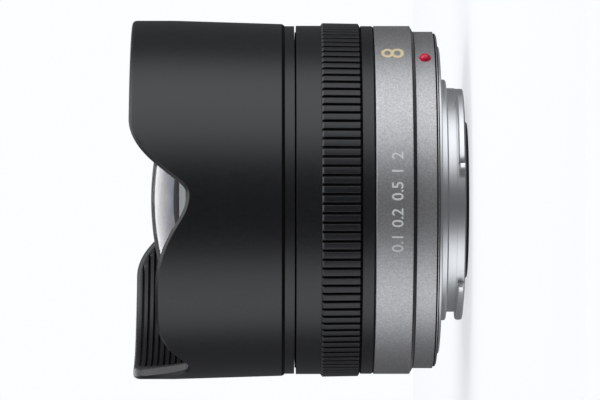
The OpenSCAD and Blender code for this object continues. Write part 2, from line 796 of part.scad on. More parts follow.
module mount_collar() {
    r = collar_d/2;
    color([0.62, 0.61, 0.6]) difference() {
        rotate_extrude() polygon([
            [plate_d/2 - 1, rim_h], [r - 0.35, rim_h], [r, rim_h + 0.35], [r, accent_z - 0.2],
            [r - 0.2, accent_z], [skirt_r, accent_z], [skirt_r, plate_top], [plate_d/2 - 1, plate_top]]);
        turn(90) translate([0, 0, dot_z()]) rotate([0, 90, 0]) rod(dot_d/2 + fit, r - 0.7, r + 1);
    }
}
function dot_z() = rim_h + collar_w*0.56;

module index_dot() {
    r = collar_d/2;
    rise = dot_d*0.4;
    cap_r = (dot_d*dot_d/4 + rise*rise)/(2*rise);
    color([0.75, 0.05, 0.04]) turn(90) translate([0, 0, dot_z()]) rotate([0, 90, 0]) intersection() {
        rod(dot_d/2, r - 0.7, r + 1);
        union() {
            rod(dot_d/2, r - 0.7, r - 0.1);
            ball(cap_r, r + rise - cap_r);
        }
    }
}

module mount_plate() {
    color([0.8, 0.8, 0.81]) difference() {
        rotate_extrude() polygon([
            [spigot_in_r + fit, 0], [plate_d/2 - 0.1, 0], [plate_d/2, 0.1], [plate_d/2, rim_h],
            [plate_d/2 - 1 - fit, rim_h], [plate_d/2 - 1 - fit, plate_top],
            [ring_flange_r + fit, plate_top], [ring_flange_r + fit, plate_step],
            [spigot_in_r + fit, plate_step]]);
        for (a = screw_angles) turn(a) translate([screw_circle_d/2, 0, 0]) {
            rod(mount_screw_d/2 + fit, -1, plate_top + 1);
            translate([0, 0, -eps]) cylinder(r1 = 1.5 + fit, r2 = mount_screw_d/2 + fit, h = 0.8);
        }
        turn(lock_a) translate([screw_circle_d/2, 0, 0]) rod(lock_hole_d/2, -1, plate_top + 1);
    }
}

module bayonet_ring() {
    r = register_d/2;
    color([0.8, 0.8, 0.81]) union() {
        rotate_extrude() polygon([
            [tube_bore_d/2, -tube_l], [neck_d/2 - 0.35, -tube_l], [neck_d/2 - 0.1, 0.25 - tube_l],
            [neck_d/2 - 0.1, 0.2 - lug_z], [neck_d/2, 0.2 - lug_z], [neck_d/2, -register_h],
            [r - 0.3, -register_h], [r, 0.3 - register_h], [r, 0], [spigot_in_r, 0],
            [spigot_in_r, plate_step], [ring_flange_r, plate_step], [ring_flange_r, plate_top],
            [tube_bore_d/2, plate_top]]);
        for (s = lug_spans) sector(lug_d/2, neck_d/2 - 0.5, -lug_z - lug_t, -lug_z, s[0], s[1]);
        sector(lug_d/2, neck_d/2 - 0.5, -tube_l + 0.05, -lug_z - 0.1, stop_span[0], stop_span[1]);
    }
}

module mount_screws() {
    color([0.7, 0.7, 0.72]) for (a = screw_angles) turn(a) translate([screw_circle_d/2, 0, 0]) difference() {
        union() {
            translate([0, 0, 0.05]) cylinder(r1 = 1.45, r2 = mount_screw_d/2, h = 0.75);
            rod(mount_screw_d/2, 0.5, base_top + 1.7);
        }
        for (q = [0, 90]) turn(q) translate([-0.8, -0.15, -1]) cube([1.6, 0.3, 1.45]);
    }
}

module contact_block() {
    span = (contact_n + 1)*contact_step;
    color([0.1, 0.1, 0.1]) difference() {
        sector(tube_bore_d/2 - fit, baffle_d/2 + fit, 1 - tube_l, plate_top, contact_a - span/2, span);
        for (i = [0:contact_n - 1]) turn(contact_a + (i - (contact_n - 1)/2)*contact_step)
            translate([contact_r, 0, 0]) rod(contact_d/2 + fit, -tube_l, 1.8 - tube_l);
    }
}

module contact_pins() {
    color([0.85, 0.68, 0.35]) for (i = [0:contact_n - 1])
        turn(contact_a + (i - (contact_n - 1)/2)*contact_step) translate([contact_r, 0, 0]) union() {
            rod(contact_d/2, 1 - tube_l, 1.8 - tube_l);
            intersection() {
                rod(contact_d/2, -tube_l, 1.2 - tube_l);
                ball(contact_d*0.75, 0.7 - tube_l + contact_d*0.75);
            }
        }
}

module rear_baffle() {
    r = baffle_d/2;
    in_r = r - baffle_wall;
    color([0.07, 0.07, 0.07]) difference() {
        rotate_extrude() polygon([
            [0, -baffle_l], [r - 0.3, -baffle_l], [r, 0.3 - baffle_l], [r, plate_top], [in_r, plate_top],
            [in_r, 0.8 - baffle_l], [0, 0.8 - baffle_l]]);
        translate([-window_w/2, -window_h/2, -baffle_l - 1]) cube([window_w, window_h, 4]);
    }
}

// REAR OPTICS

module rear_cell() {
    color([0.16, 0.16, 0.17]) difference() {
        union() {
            rod(rear_cell_r, rear_cell_z, base_top + 0.1);
            rod(flange_r, base_top, flange_top);
            rod(rear_cell_r - 1, flange_top - 0.1, e8_edge + 0.9);
        }
        rod(e8_d/2 + fit, e8_rim, e8_edge);
        intersection() {
            rod(e8_d/2 + fit, e8_edge - 0.1, e8_z);
            ball(e8_r1 + fit, e8_z - e8_r1);
        }
        intersection() {
            rod(e8_d/2 + fit, e8_back, e8_rim + 0.1);
            ball(e8_r2 + fit, e8_back + e8_r2);
        }
        rod(e8_d/2 - 0.5, e9_edge - 1, e8_z + 1);
        rod(e8_d/2 + fit, rear_cell_z - 1, e9_edge);
        for (a = [0, 180]) turn(focus_a + a) translate([rod_circle_d/2, 0, 0])
            rod(rod_d/2 + 0.01, base_top + 0.4, flange_top + 1);
    }
}

module eighth_element() {
    color([0.6, 0.72, 0.75, 0.5]) intersection() {
        rod(e8_d/2, e8_back - 1, e8_z + 1);
        ball(e8_r1, e8_z - e8_r1);
        ball(e8_r2, e8_back + e8_r2);
    }
}

module ninth_element() {
    color([0.6, 0.72, 0.75, 0.5]) difference() {
        rod(e8_d/2, e9_rim, e9_edge);
        ball(e9_r, e9_z + e9_r);
        ball(e9_r, e9_back - e9_r);
    }
}

module rear_spacer() {
    color([0.2, 0.2, 0.21]) difference() {
        tube(e8_d/2, e8_d/2 - 0.6, e10_edge, e9_rim);
        ball(e10_r1 + 0.02, e10_z - e10_r1);
    }
}

module tenth_element() {
    color([0.6, 0.72, 0.75, 0.5]) intersection() {
        rod(e8_d/2, e10_back - 1, e10_z + 1);
        ball(e10_r1, e10_z - e10_r1);
        ball(e10_r2, e10_back + e10_r2);
    }
}

module rear_retainer() {
    color([0.2, 0.2, 0.21]) difference() {
        tube(e8_d/2, e8_d/2 - 1, rear_cell_z, e10_rim);
        ball(e10_r2 + 0.02, e10_back + e10_r2);
    }
}

// FOCUS UNIT

module focus_carriage() {
    color([0.2, 0.2, 0.21]) difference() {
        union() {
            rod(carriage_r, carriage_z, carriage_top);
            turn(focus_a) {
                translate([rod_circle_d/2, 0, 0]) rod(rod_d/2 + 0.85, carriage_z - 0.3, sleeve_top);
                bar(carriage_r - 1, rod_circle_d/2, 2.2, carriage_z, carriage_top);
                bar(rod_circle_d/2 + rod_d/2 + 0.4, screw_r - 1.6, 2.2, nut_z, nut_z + nut_t);
            }
            turn(focus_a + 180) bar(carriage_r - 1, rod_circle_d/2 + 1.8, 3.4, carriage_z, carriage_z + 1.6);
        }
        rod(e6_d/2 + fit, carriage_z - 1, e6_edge);
        rod(e6_d/2 - 0.6, carriage_z - 1, carriage_top + 1);
        intersection() {
            rod(e6_d/2, e6_edge - 1, e6_z);
            ball(e6_r1 + 0.02, e6_z - e6_r1);
        }
        turn(focus_a) translate([rod_circle_d/2, 0, 0]) rod(rod_d/2 + run, carriage_z - 1, sleeve_top + 1);
        turn(focus_a + 180) {
            translate([rod_circle_d/2, 0, 0]) rod(rod_d/2 + run, carriage_z - 1, carriage_top);
            bar(rod_circle_d/2, rod_circle_d/2 + 3, rod_d + 2*run, carriage_z - 1, carriage_top);
        }
    }
}

module sixth_element() {
    color([0.6, 0.72, 0.75, 0.5]) difference() {
        intersection() {
            rod(e6_d/2, e7_z - sag(e7_r1, e6_d/2), e6_z + 1);
            ball(e6_r1, e6_z - e6_r1);
        }
        ball(e7_r1, e7_z - e7_r1);
    }
}

module seventh_element() {
    color([0.6, 0.75, 0.72, 0.5]) intersection() {
        rod(e6_d/2, e7_back - 1, e7_z + 1);
        ball(e7_r1 - 0.01, e7_z - e7_r1);
        ball(e7_r2, e7_back + e7_r2);
    }
}

module focus_nut() {
    color([0.9, 0.88, 0.8]) turn(focus_a) difference() {
        bar(screw_r - 1.6, screw_r + 1.4, 3.4, nut_z, nut_z + nut_t);
        translate([screw_r, 0, 0]) rod(screw_d/2 + run, nut_z - 1, nut_z + nut_t + 1);
    }
}

module guide_rod_main() {
    color([0.75, 0.75, 0.77]) turn(focus_a) translate([rod_circle_d/2, 0, 0])
        rod(rod_d/2, base_top + 0.4, shelf_z - 0.2);
}

module guide_rod_second() {
    color([0.75, 0.75, 0.77]) turn(focus_a + 180) translate([rod_circle_d/2, 0, 0])
        rod(rod_d/2, base_top + 0.4, shelf_z - 0.2);
}

module lead_screw() {
    turns = floor((shelf_z - shelf_t - 1 - bracket_z - bracket_t - 0.6)/screw_pitch);
    low = bracket_z + bracket_t + 0.3;
    color([0.8, 0.78, 0.7]) turn(focus_a) translate([screw_r, 0, 0]) rotate_extrude() polygon(concat(
        [[0, screw_low], [screw_d/2 - 0.25, screw_low], [screw_d/2 - 0.25, low]],
        [for (i = [0:turns - 1]) for (k = [0:1])
            [screw_d/2 - (k == 0 ? 0.2 : 0), low + (i + k*0.5)*screw_pitch]],
        [[screw_d/2 - 0.2, low + turns*screw_pitch], [screw_d/2 - 0.2, screw_up], [0, screw_up]]));
}

module focus_motor() {
    color([0.7, 0.7, 0.72]) turn(focus_a) translate([screw_r, 0, 0]) difference() {
        union() {
            rod(focus_motor_d/2, shelf_z, shelf_z + focus_motor_l);
            rod(focus_motor_d/4, shelf_z + focus_motor_l - eps, shelf_z + focus_motor_l + 0.3);
        }
        rod(screw_d/2 + run, shelf_z - 1, shelf_z + 1);
    }
}

module screw_bracket() {
    top = shelf_z - shelf_t;
    out = low_bore_r - 0.3;
    color([0.72, 0.72, 0.7]) turn(focus_a) difference() {
        union() {
            bar(screw_r - 1.8, out, 4, top - bracket_t, top);
            bar(out - bracket_t, out, 4, bracket_z, top);
            bar(screw_r - 1.4, out, 4, bracket_z, bracket_z + bracket_t);
        }
        translate([screw_r, 0, 0]) rod(screw_d/2 + 0.2, top - 1, top + 1);
        translate([screw_r, 0, 0]) rod(screw_d/2 - 0.25 + run, bracket_z - 1, bracket_z + 2);
    }
}

// IRIS UNIT

module iris_housing() {
    color([0.18, 0.18, 0.19]) difference() {
        union() {
            rod(spigot_r, spigot_z, shelf_z + 0.1);
            rod(house_r, shelf_z, iris_floor);
            tube(house_r, house_in, iris_floor - 0.1, cover_z);
            rod(boss_r, iris_floor - 0.1, ring_up);
            for (a = ear_angles) turn(a) translate([ear_r, 0, 0]) rod(ear_d/2, shelf_z, cover_z);
        }
        rod(e5_d/2 + fit, spigot_z - 1, e5_z - sag(e5_r, e5_d/2));
        intersection() {
            rod(e5_d/2, spigot_z - 1, e5_z);
            ball(e5_r + 0.02, e5_z - e5_r);
        }
        rod(stop_d/2 + 0.2, spigot_z, ring_up + 1);
        for (a = ear_angles) turn(a) translate([ear_r, 0, 0]) rod(0.6 + fit, shelf_z - 1, cover_z + 1);
        for (a = [0, 180]) turn(focus_a + a) translate([rod_circle_d/2, 0, 0])
            rod(rod_d/2 + 0.01, spigot_z - 1, shelf_z - 0.2);
        turn(iris_motor_a) translate([iris_motor_r, 0, 0])
            rod(pinion_r + gear_add + 0.5, shelf_z - 0.01, cover_z + 1);
        turn(iris_motor_a) translate([iris_motor_r, 0, 0]) rod(0.9, spigot_z - 1, shelf_z + 1);
    }
}

module fifth_element() {
    color([0.6, 0.72, 0.75, 0.5]) intersection() {
        rod(e5_d/2, spigot_z - 1, e5_z + 1);
        ball(e5_r, e5_z - e5_r);
        ball(e5_r, spigot_z + e5_r);
    }
}

module iris_ring() {
    slot = blade_pin_d/2 + 0.1;
    color([0.55, 0.55, 0.57]) difference() {
        union() {
            tube(root_r, boss_r + run, ring_bot, ring_up);
            translate([0, 0, ring_bot]) for (i = [-10:3]) linear_extrude(ring_t)
                polygon(tooth(ring_teeth, iris_motor_a + i*360/ring_teeth));
        }
        for (b = [0:blade_n - 1]) turn(b*360/blade_n) {
            translate([0, 0, ring_bot - 1]) linear_extrude(ring_t + 2) polygon(concat(
                [for (k = [0:8]) let (a = k*iris_turn/8) cam(a) + slot*cam_side(a)],
                [for (k = [8:-1:0]) let (a = k*iris_turn/8) cam(a) - slot*cam_side(a)]));
            for (a = [0, iris_turn]) translate([cam(a)[0], cam(a)[1], 0])
                rod(slot, ring_bot - 1, ring_up + 1);
        }
    }
}

module blade(i) {
    z = blade_z + i*blade_pitch;
    in_r = stop_d/2;
    mid_r = in_r + blade_w/2;
    joint = polar(in_r + blade_w - 1.3, -14);
    span = norm(joint - [pivot_circle_d/2, 0]);
    lean = atan2(joint[1], joint[0] - pivot_circle_d/2);
    color([0.12, 0.12, 0.12]) turn(i*360/blade_n) union() {
        sector(in_r + blade_w, in_r, z, z + blade_t, -128, 120);
        turn(-128) translate([mid_r, 0, 0]) rod(blade_w/2, z, z + blade_t);
        translate([pivot_circle_d/2, 0, 0]) {
            rod(1.15, z, z + blade_t);
            turn(lean) bar(0, span, 2.3, z, z + blade_t);
            turn(90) bar(0, drive_arm, 1.5, z, z + blade_t);
            translate([0, drive_arm, 0]) rod(0.8, z, z + blade_t);
            rod(blade_pin_d/2, z, cover_z + cover_t - 0.1);
            translate([0, drive_arm, 0]) rod(blade_pin_d/2, ring_bot + 0.1, z + blade_t);
        }
    }
}

module iris_cover() {
    color([0.18, 0.18, 0.19]) difference() {
        union() {
            rod(house_r, cover_z, cover_z + cover_t);
            for (a = ear_angles) turn(a) translate([ear_r, 0, 0]) rod(ear_d/2, cover_z, cover_z + cover_t);
        }
        rod(stop_d/2 + 0.2, cover_z - 1, cover_z + 2);
        for (b = [0:blade_n - 1]) turn(b*360/blade_n) translate([pivot_circle_d/2, 0, 0])
            rod(blade_pin_d/2 + 0.06, cover_z - 1, cover_z + 2);
        for (a = ear_angles) turn(a) translate([ear_r, 0, 0]) rod(0.6 + fit, cover_z - 1, cover_z + 2);
    }
}

module iris_screws() {
    color([0.6, 0.6, 0.62]) for (a = ear_angles) turn(a) translate([ear_r, 0, 0]) {
        rod(1.2, cover_z + cover_t, cover_z + cover_t + 0.8);
        rod(0.6, shelf_z - shelf_t + 0.1, cover_z + cover_t + 0.4);
    }
}

module iris_motor() {
    top = shelf_z - shelf_t;
    color([0.7, 0.7, 0.72]) turn(iris_motor_a) translate([iris_motor_r, 0, 0]) difference() {
        rod(iris_motor_d/2, top - iris_motor_l, top);
        rod(0.5 + run, top - 2.2, top + 1);
    }
}

module iris_pinion() {
    top = shelf_z - shelf_t;
    color([0.85, 0.75, 0.45]) turn(iris_motor_a) translate([iris_motor_r, 0, 0]) union() {
        rod(0.5, top - 2, ring_up);
        turn(180 + 180/pinion_teeth) translate([0, 0, ring_bot - 0.02]) linear_extrude(ring_t) union() {
            circle(r = pinion_r - gear_ded);
            for (i = [0:pinion_teeth - 1]) polygon(tooth(pinion_teeth, i*360/pinion_teeth));
        }
    }
}

hood_barrel();
front_frame();
front_retaining_ring();
front_element();
front_cell();
second_element();
second_retainer();
third_element();
third_spacer();
fourth_element();
fourth_retainer();
cell_screws();
main_frame();
frame_screws();
focus_sleeve();
focus_grip();
encoder_ring();
encoder_sensor();
slide_washer();
rear_barrel();
accent_ring();
mount_collar();
index_dot();
mount_plate();
bayonet_ring();
mount_screws();
contact_block();
contact_pins();
rear_baffle();
rear_cell();
eighth_element();
ninth_element();
rear_spacer();
tenth_element();
rear_retainer();
focus_carriage();
sixth_element();
seventh_element();
focus_nut();
guide_rod_main();
guide_rod_second();
lead_screw();
focus_motor();
screw_bracket();
iris_housing();
fifth_element();
iris_ring();
blade(0);  // iris_blade_1
blade(1);  // iris_blade_2
blade(2);  // iris_blade_3
blade(3);  // iris_blade_4
blade(4);  // iris_blade_5
blade(5);  // iris_blade_6
blade(6);  // iris_blade_7
iris_cover();
iris_screws();
iris_motor();
iris_pinion();
main_board();
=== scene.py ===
import bmesh
import bpy
import numpy as np
from mathutils import Matrix, Vector


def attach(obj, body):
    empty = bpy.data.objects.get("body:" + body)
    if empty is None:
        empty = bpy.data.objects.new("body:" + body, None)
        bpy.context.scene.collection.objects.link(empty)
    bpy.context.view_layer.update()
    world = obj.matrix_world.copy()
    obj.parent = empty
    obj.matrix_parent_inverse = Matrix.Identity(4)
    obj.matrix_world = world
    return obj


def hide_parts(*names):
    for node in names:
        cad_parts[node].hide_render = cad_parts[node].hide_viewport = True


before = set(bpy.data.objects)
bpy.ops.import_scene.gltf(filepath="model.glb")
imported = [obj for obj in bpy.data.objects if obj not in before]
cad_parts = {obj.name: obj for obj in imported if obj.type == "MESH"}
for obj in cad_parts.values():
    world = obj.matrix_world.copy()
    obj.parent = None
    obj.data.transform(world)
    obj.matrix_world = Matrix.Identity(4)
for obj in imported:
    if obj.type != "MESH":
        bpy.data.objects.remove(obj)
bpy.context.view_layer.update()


# Moulded inner pieces: the chassis tube with its base and shelf, the front frame, and the housings
# of iris, focus carriage and rear cell. Glass-filled black plastic, injection moulded with a fine
# matt grain so that it throws no light back into the picture, and held by small screws.
MM = 0.001
TAU = 2 * np.pi


def finish(name, tones, rough, grain, lift, metal=0.0, shine=0.5, rubbed=None):
    """Finish on Object coordinates: noise of the given grain (mm) slides the colour between two tones and
    the roughness between two values, and noise four times finer lifts the surface by up to lift (mm). The
    shine is the shader's own specular level. A third tone, rubbed, comes through unevenly where an edge
    stands out by the mesh's edge attribute."""
    material = bpy.data.materials.new(name)
    material.use_nodes = True
    nodes, links = material.node_tree.nodes, material.node_tree.links
    shade = nodes["Principled BSDF"]
    shade.inputs["Metallic"].default_value = metal
    shade.inputs["Specular IOR Level"].default_value = shine
    place = nodes.new("ShaderNodeTexCoord")
    cloud = nodes.new("ShaderNodeTexNoise")
    cloud.inputs["Scale"].default_value = 1 / (grain * MM)
    cloud.inputs["Detail"].default_value = 3
    tone = nodes.new("ShaderNodeValToRGB")
    for stop, at, colour in zip(tone.color_ramp.elements, (0.35, 0.65), tones):
        stop.position = at
        stop.color = (*colour, 1)
    gloss = nodes.new("ShaderNodeMapRange")
    for socket, value in zip(("From Min", "From Max", "To Min", "To Max"), (0.35, 0.65, *rough)):
        gloss.inputs[socket].default_value = value
    fine = nodes.new("ShaderNodeTexNoise")
    fine.inputs["Scale"].default_value = 4 / (grain * MM)
    bump = nodes.new("ShaderNodeBump")
    bump.inputs["Distance"].default_value = lift * MM
    links.new(place.outputs["Object"], cloud.inputs["Vector"])
    links.new(place.outputs["Object"], fine.inputs["Vector"])
    links.new(cloud.outputs["Fac"], tone.inputs["Fac"])
    links.new(cloud.outputs["Fac"], gloss.inputs["Value"])
    links.new(fine.outputs["Fac"], bump.inputs["Height"])
    links.new(gloss.outputs["Result"], shade.inputs["Roughness"])
    links.new(bump.outputs["Normal"], shade.inputs["Normal"])
    if rubbed is None:
        links.new(tone.outputs["Color"], shade.inputs["Base Color"])
        return material
    edge, proud, uneven = (nodes.new("ShaderNodeAttribute"), nodes.new("ShaderNodeMapRange"),
                           nodes.new("ShaderNodeMath"))
    edge.attribute_name = "edge"
    for socket, value in zip(("From Min", "From Max", "To Min", "To Max"), (0.1, 0.25, 0, 1.6)):
        proud.inputs[socket].default_value = value
    uneven.operation, uneven.use_clamp = "MULTIPLY", True
    worn = nodes.new("ShaderNodeMix")
    worn.data_type = "RGBA"
    worn_share, worn_from, worn_to = (worn.inputs[index] for index in (0, 6, 7))
    worn_to.default_value = (*rubbed, 1)
    links.new(edge.outputs["Fac"], proud.inputs["Value"])
    links.new(proud.outputs["Result"], uneven.inputs[0])
    links.new(cloud.outputs["Fac"], uneven.inputs[1])
    links.new(uneven.outputs["Value"], worn_share)
    links.new(tone.outputs["Color"], worn_from)
    links.new(worn.outputs[2], shade.inputs["Base Color"])
    return material


def dress(material, *names):
    """Gives CAD nodes, whose shape stays as it is, a finish."""
    for name in names:
        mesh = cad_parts[name].data
        mesh.materials.clear()
        mesh.materials.append(material)


matt_moulding = finish(
    "matt_moulding", ((0.018, 0.018, 0.019), (0.026, 0.026, 0.028)), (0.5, 0.6), 0.6, 0.012)
dress(matt_moulding, "main_frame", "iris_housing", "iris_cover", "focus_carriage", "rear_cell",
      "encoder_sensor", "contact_block")


# Turned cells, spacers and retaining rings that hold the glass: aluminium bar turned on a lathe and
# anodised black. The tool leaves fine rings round the optical axis.
def turned(name, tones, rough, pitch, lift, metal=1.0):
    """Lathe finish: one-dimensional noise along (distance from the optical axis + height along it), with
    lines about pitch mm apart, slides colour and roughness and lifts the surface by up to lift (mm)."""
    material = bpy.data.materials.new(name)
    material.use_nodes = True
    nodes, links = material.node_tree.nodes, material.node_tree.links
    shade = nodes["Principled BSDF"]
    shade.inputs["Metallic"].default_value = metal
    place = nodes.new("ShaderNodeTexCoord")
    flat = nodes.new("ShaderNodeVectorMath")
    flat.operation = "MULTIPLY"
    flat.inputs[1].default_value = (1, 1, 0)
    radius = nodes.new("ShaderNodeVectorMath")
    radius.operation = "LENGTH"
    height = nodes.new("ShaderNodeSeparateXYZ")
    along = nodes.new("ShaderNodeMath")
    along.operation = "ADD"
    lines = nodes.new("ShaderNodeTexNoise")
    lines.noise_dimensions = "1D"
    lines.inputs["Scale"].default_value = 1 / (pitch * MM)
    lines.inputs["Detail"].default_value = 4
    tone = nodes.new("ShaderNodeValToRGB")
    for stop, at, colour in zip(tone.color_ramp.elements, (0.3, 0.7), tones):
        stop.position = at
        stop.color = (*colour, 1)
    gloss = nodes.new("ShaderNodeMapRange")
    for socket, value in zip(("From Min", "From Max", "To Min", "To Max"), (0.3, 0.7, *rough)):
        gloss.inputs[socket].default_value = value
    bump = nodes.new("ShaderNodeBump")
    bump.inputs["Distance"].default_value = lift * MM
    links.new(place.outputs["Object"], flat.inputs[0])
    links.new(flat.outputs["Vector"], radius.inputs[0])
    links.new(place.outputs["Object"], height.inputs["Vector"])
    links.new(radius.outputs["Value"], along.inputs[0])
    links.new(height.outputs["Z"], along.inputs[1])
    links.new(along.outputs["Value"], lines.inputs["W"])
    links.new(lines.outputs["Fac"], tone.inputs["Fac"])
    links.new(lines.outputs["Fac"], gloss.inputs["Value"])
    links.new(lines.outputs["Fac"], bump.inputs["Height"])
    links.new(tone.outputs["Color"], shade.inputs["Base Color"])
    links.new(gloss.outputs["Result"], shade.inputs["Roughness"])
    links.new(bump.outputs["Normal"], shade.inputs["Normal"])
    return material


black_anodised = turned(
    "black_anodised", ((0.016, 0.016, 0.018), (0.028, 0.028, 0.03)), (0.38, 0.5), 0.12, 0.002, metal=0.0)
dress(black_anodised, "front_cell", "second_retainer", "third_spacer", "fourth_retainer", "rear_spacer",
      "rear_retainer")


# Inner lens elements: ground and polished glass with a thin coating on both faces against reflections.
# Each one is held by its edge in a turned or moulded cell; the sixth and seventh are cemented.
def coated_glass(name, bend, film, film_bend):
    """Clear glass of refractive index bend under a film of the given thickness (nm) and index film_bend.
    Noise gives the polish a trace of bloom, as a roughness between zero and about one hundredth."""
    material = bpy.data.materials.new(name)
    material.use_nodes = True
    nodes, links = material.node_tree.nodes, material.node_tree.links
    shade = nodes["Principled BSDF"]
    shade.inputs["Base Color"].default_value = (0.96, 0.975, 0.97, 1)
    shade.inputs["Transmission Weight"].default_value = 1
    shade.inputs["IOR"].default_value = bend
    shade.inputs["Thin Film Thickness"].default_value = film
    shade.inputs["Thin Film IOR"].default_value = film_bend
    place = nodes.new("ShaderNodeTexCoord")
    bloom = nodes.new("ShaderNodeTexNoise")
    bloom.inputs["Scale"].default_value = 400
    bloom.inputs["Detail"].default_value = 5
    gloss = nodes.new("ShaderNodeMapRange")
    for socket, value in zip(("From Min", "From Max", "To Min", "To Max"), (0.45, 0.75, 0.0, 0.012)):
        gloss.inputs[socket].default_value = value
    links.new(place.outputs["Object"], bloom.inputs["Vector"])
    links.new(bloom.outputs["Fac"], gloss.inputs["Value"])
    links.new(gloss.outputs["Result"], shade.inputs["Roughness"])
    return material


inner_glass = coated_glass("inner_glass", 1.65, 115, 1.38)
dress(inner_glass, "second_element", "third_element", "fourth_element", "fifth_element", "sixth_element",
      "seventh_element", "eighth_element", "ninth_element", "tenth_element")


# Screws, guide rods, lead screw, motors and their bracket: plain steel, turned or pressed, bright and
# bare. The screws go in last and hold frame, cells, iris and mount plate.
bright_steel = finish(
    "bright_steel", ((0.5, 0.5, 0.51), (0.64, 0.64, 0.65)), (0.22, 0.36), 0.25, 0.002, metal=1.0)
dress(bright_steel, "cell_screws", "frame_screws", "iris_screws", "guide_rod_main", "guide_rod_second",
      "lead_screw", "focus_motor", "screw_bracket", "iris_motor")


# Iris: seven thin blades on pins, a drive ring with cam slots and a gear sector, and the pinion on its
# motor. Blades are spring steel blackened matt, the ring is bare aluminium and the pinion is brass.
blade_black = finish(
    "blade_black", ((0.012, 0.012, 0.012), (0.022, 0.022, 0.023)), (0.55, 0.7), 0.4, 0.003, metal=0.3)
dress(blade_black, *(f"iris_blade_{number}" for number in range(1, 8)))
bare_aluminium = finish(
    "bare_aluminium", ((0.52, 0.52, 0.53), (0.62, 0.62, 0.63)), (0.3, 0.45), 0.3, 0.003, metal=1.0)
dress(bare_aluminium, "iris_ring", "encoder_ring")
pinion_brass = finish(
    "pinion_brass", ((0.62, 0.43, 0.16), (0.74, 0.54, 0.23)), (0.22, 0.35), 0.2, 0.002, metal=1.0)
dress(pinion_brass, "iris_pinion")


# Focus nut and slide washer: white low-friction plastic, moulded, one on the lead screw and one under
# the rear end of the turning ring.
slide_plastic = finish(
    "slide_plastic", ((0.7, 0.69, 0.65), (0.78, 0.77, 0.74)), (0.4, 0.5), 0.8, 0.004)
dress(slide_plastic, "focus_nut", "slide_washer")


# Main board: a ring segment of epoxy board under green lacquer, with its chips soldered on. It lies on
# the chassis base behind the rear barrel.
board_lacquer = finish(
    "board_lacquer", ((0.012, 0.08, 0.035), (0.02, 0.13, 0.06)), (0.25, 0.4), 1.2, 0.006)
dress(board_lacquer, "main_board")


# Rear barrel: a short aluminium sleeve in grey metallic lacquer that closes the chassis drum. Turned
# with small broken edges; its lower edge rests on the black accent ring.
BARREL_R, BARREL_LOW, BARREL_TOP, BARREL_IN = 29.47, 4.9, 11.05, 28.04


def rounded(corners, steps=6):
    """Closed section from corner rows (r, z, radius). An arc that touches both sides replaces each corner:
    its point k is centre + a*sin((1-k)f)/sin(f) + b*sin(kf)/sin(f), with a and b the arms to the two
    touching points and f the angle between them. One more point along each side keeps flat faces flat in
    shading."""
    corner = np.asarray(corners, float)
    point, radius = corner[:, :2], corner[:, 2:]
    back, ahead = np.roll(point, 1, 0) - point, np.roll(point, -1, 0) - point
    back_long = np.linalg.norm(back, axis=1, keepdims=True)
    ahead_long = np.linalg.norm(ahead, axis=1, keepdims=True)
    back, ahead = back / back_long, ahead / ahead_long
    half = np.arccos(np.clip((back * ahead).sum(1, keepdims=True), -0.9999, 0.9999)) / 2
    reach = radius / np.tan(half)
    middle = back + ahead
    centre = point + middle / np.linalg.norm(middle, axis=1, keepdims=True) * radius / np.sin(half)
    arm_a, arm_b = point + back * reach - centre, point + ahead * reach - centre
    full = (np.pi - 2 * half)[:, None]
    k = np.linspace(0, 1, steps)[None, :, None]
    arc = centre[:, None] + (
        arm_a[:, None] * np.sin((1 - k) * full) + arm_b[:, None] * np.sin(k * full)) / np.sin(full)
    before = point + back * np.minimum(reach + 0.12, 0.48 * back_long)
    after = point + ahead * np.minimum(reach + 0.12, 0.48 * ahead_long)
    return np.concatenate([before[:, None], arc, after[:, None]], 1).reshape(-1, 2)


def outward_bend(mesh):
    """Largest outward bend (radians) at each point of a mesh: for each edge the angle between its two
    faces, counted where the middle of one face lies below the plane of the other."""
    normal, middle = np.empty((2, len(mesh.polygons) * 3), np.float32)
    mesh.polygons.foreach_get("normal", normal)
    mesh.polygons.foreach_get("center", middle)
    normal, middle = normal.reshape(-1, 3), middle.reshape(-1, 3)
    corners = np.empty(len(mesh.polygons), np.int32)
    mesh.polygons.foreach_get("loop_total", corners)
    edge = np.empty(len(mesh.loops), np.int32)
    mesh.loops.foreach_get("edge_index", edge)
    ends = np.empty(len(mesh.edges) * 2, np.int32)
    mesh.edges.foreach_get("vertices", ends)
    face = np.repeat(np.arange(len(corners)), corners)
    order = np.argsort(edge, kind="stable")
    edge, face = edge[order], face[order]
    shared = np.flatnonzero(edge[1:] == edge[:-1])
    one, other = face[shared], face[shared + 1]
    angle = np.arccos(np.clip((normal[one] * normal[other]).sum(1), -1, 1))
    angle[((middle[other] - middle[one]) * normal[one]).sum(1) >= 0] = 0
    bend = np.zeros(len(mesh.vertices), np.float32)
    np.maximum.at(bend, ends.reshape(-1, 2)[edge[shared]], angle[:, None])
    return bend


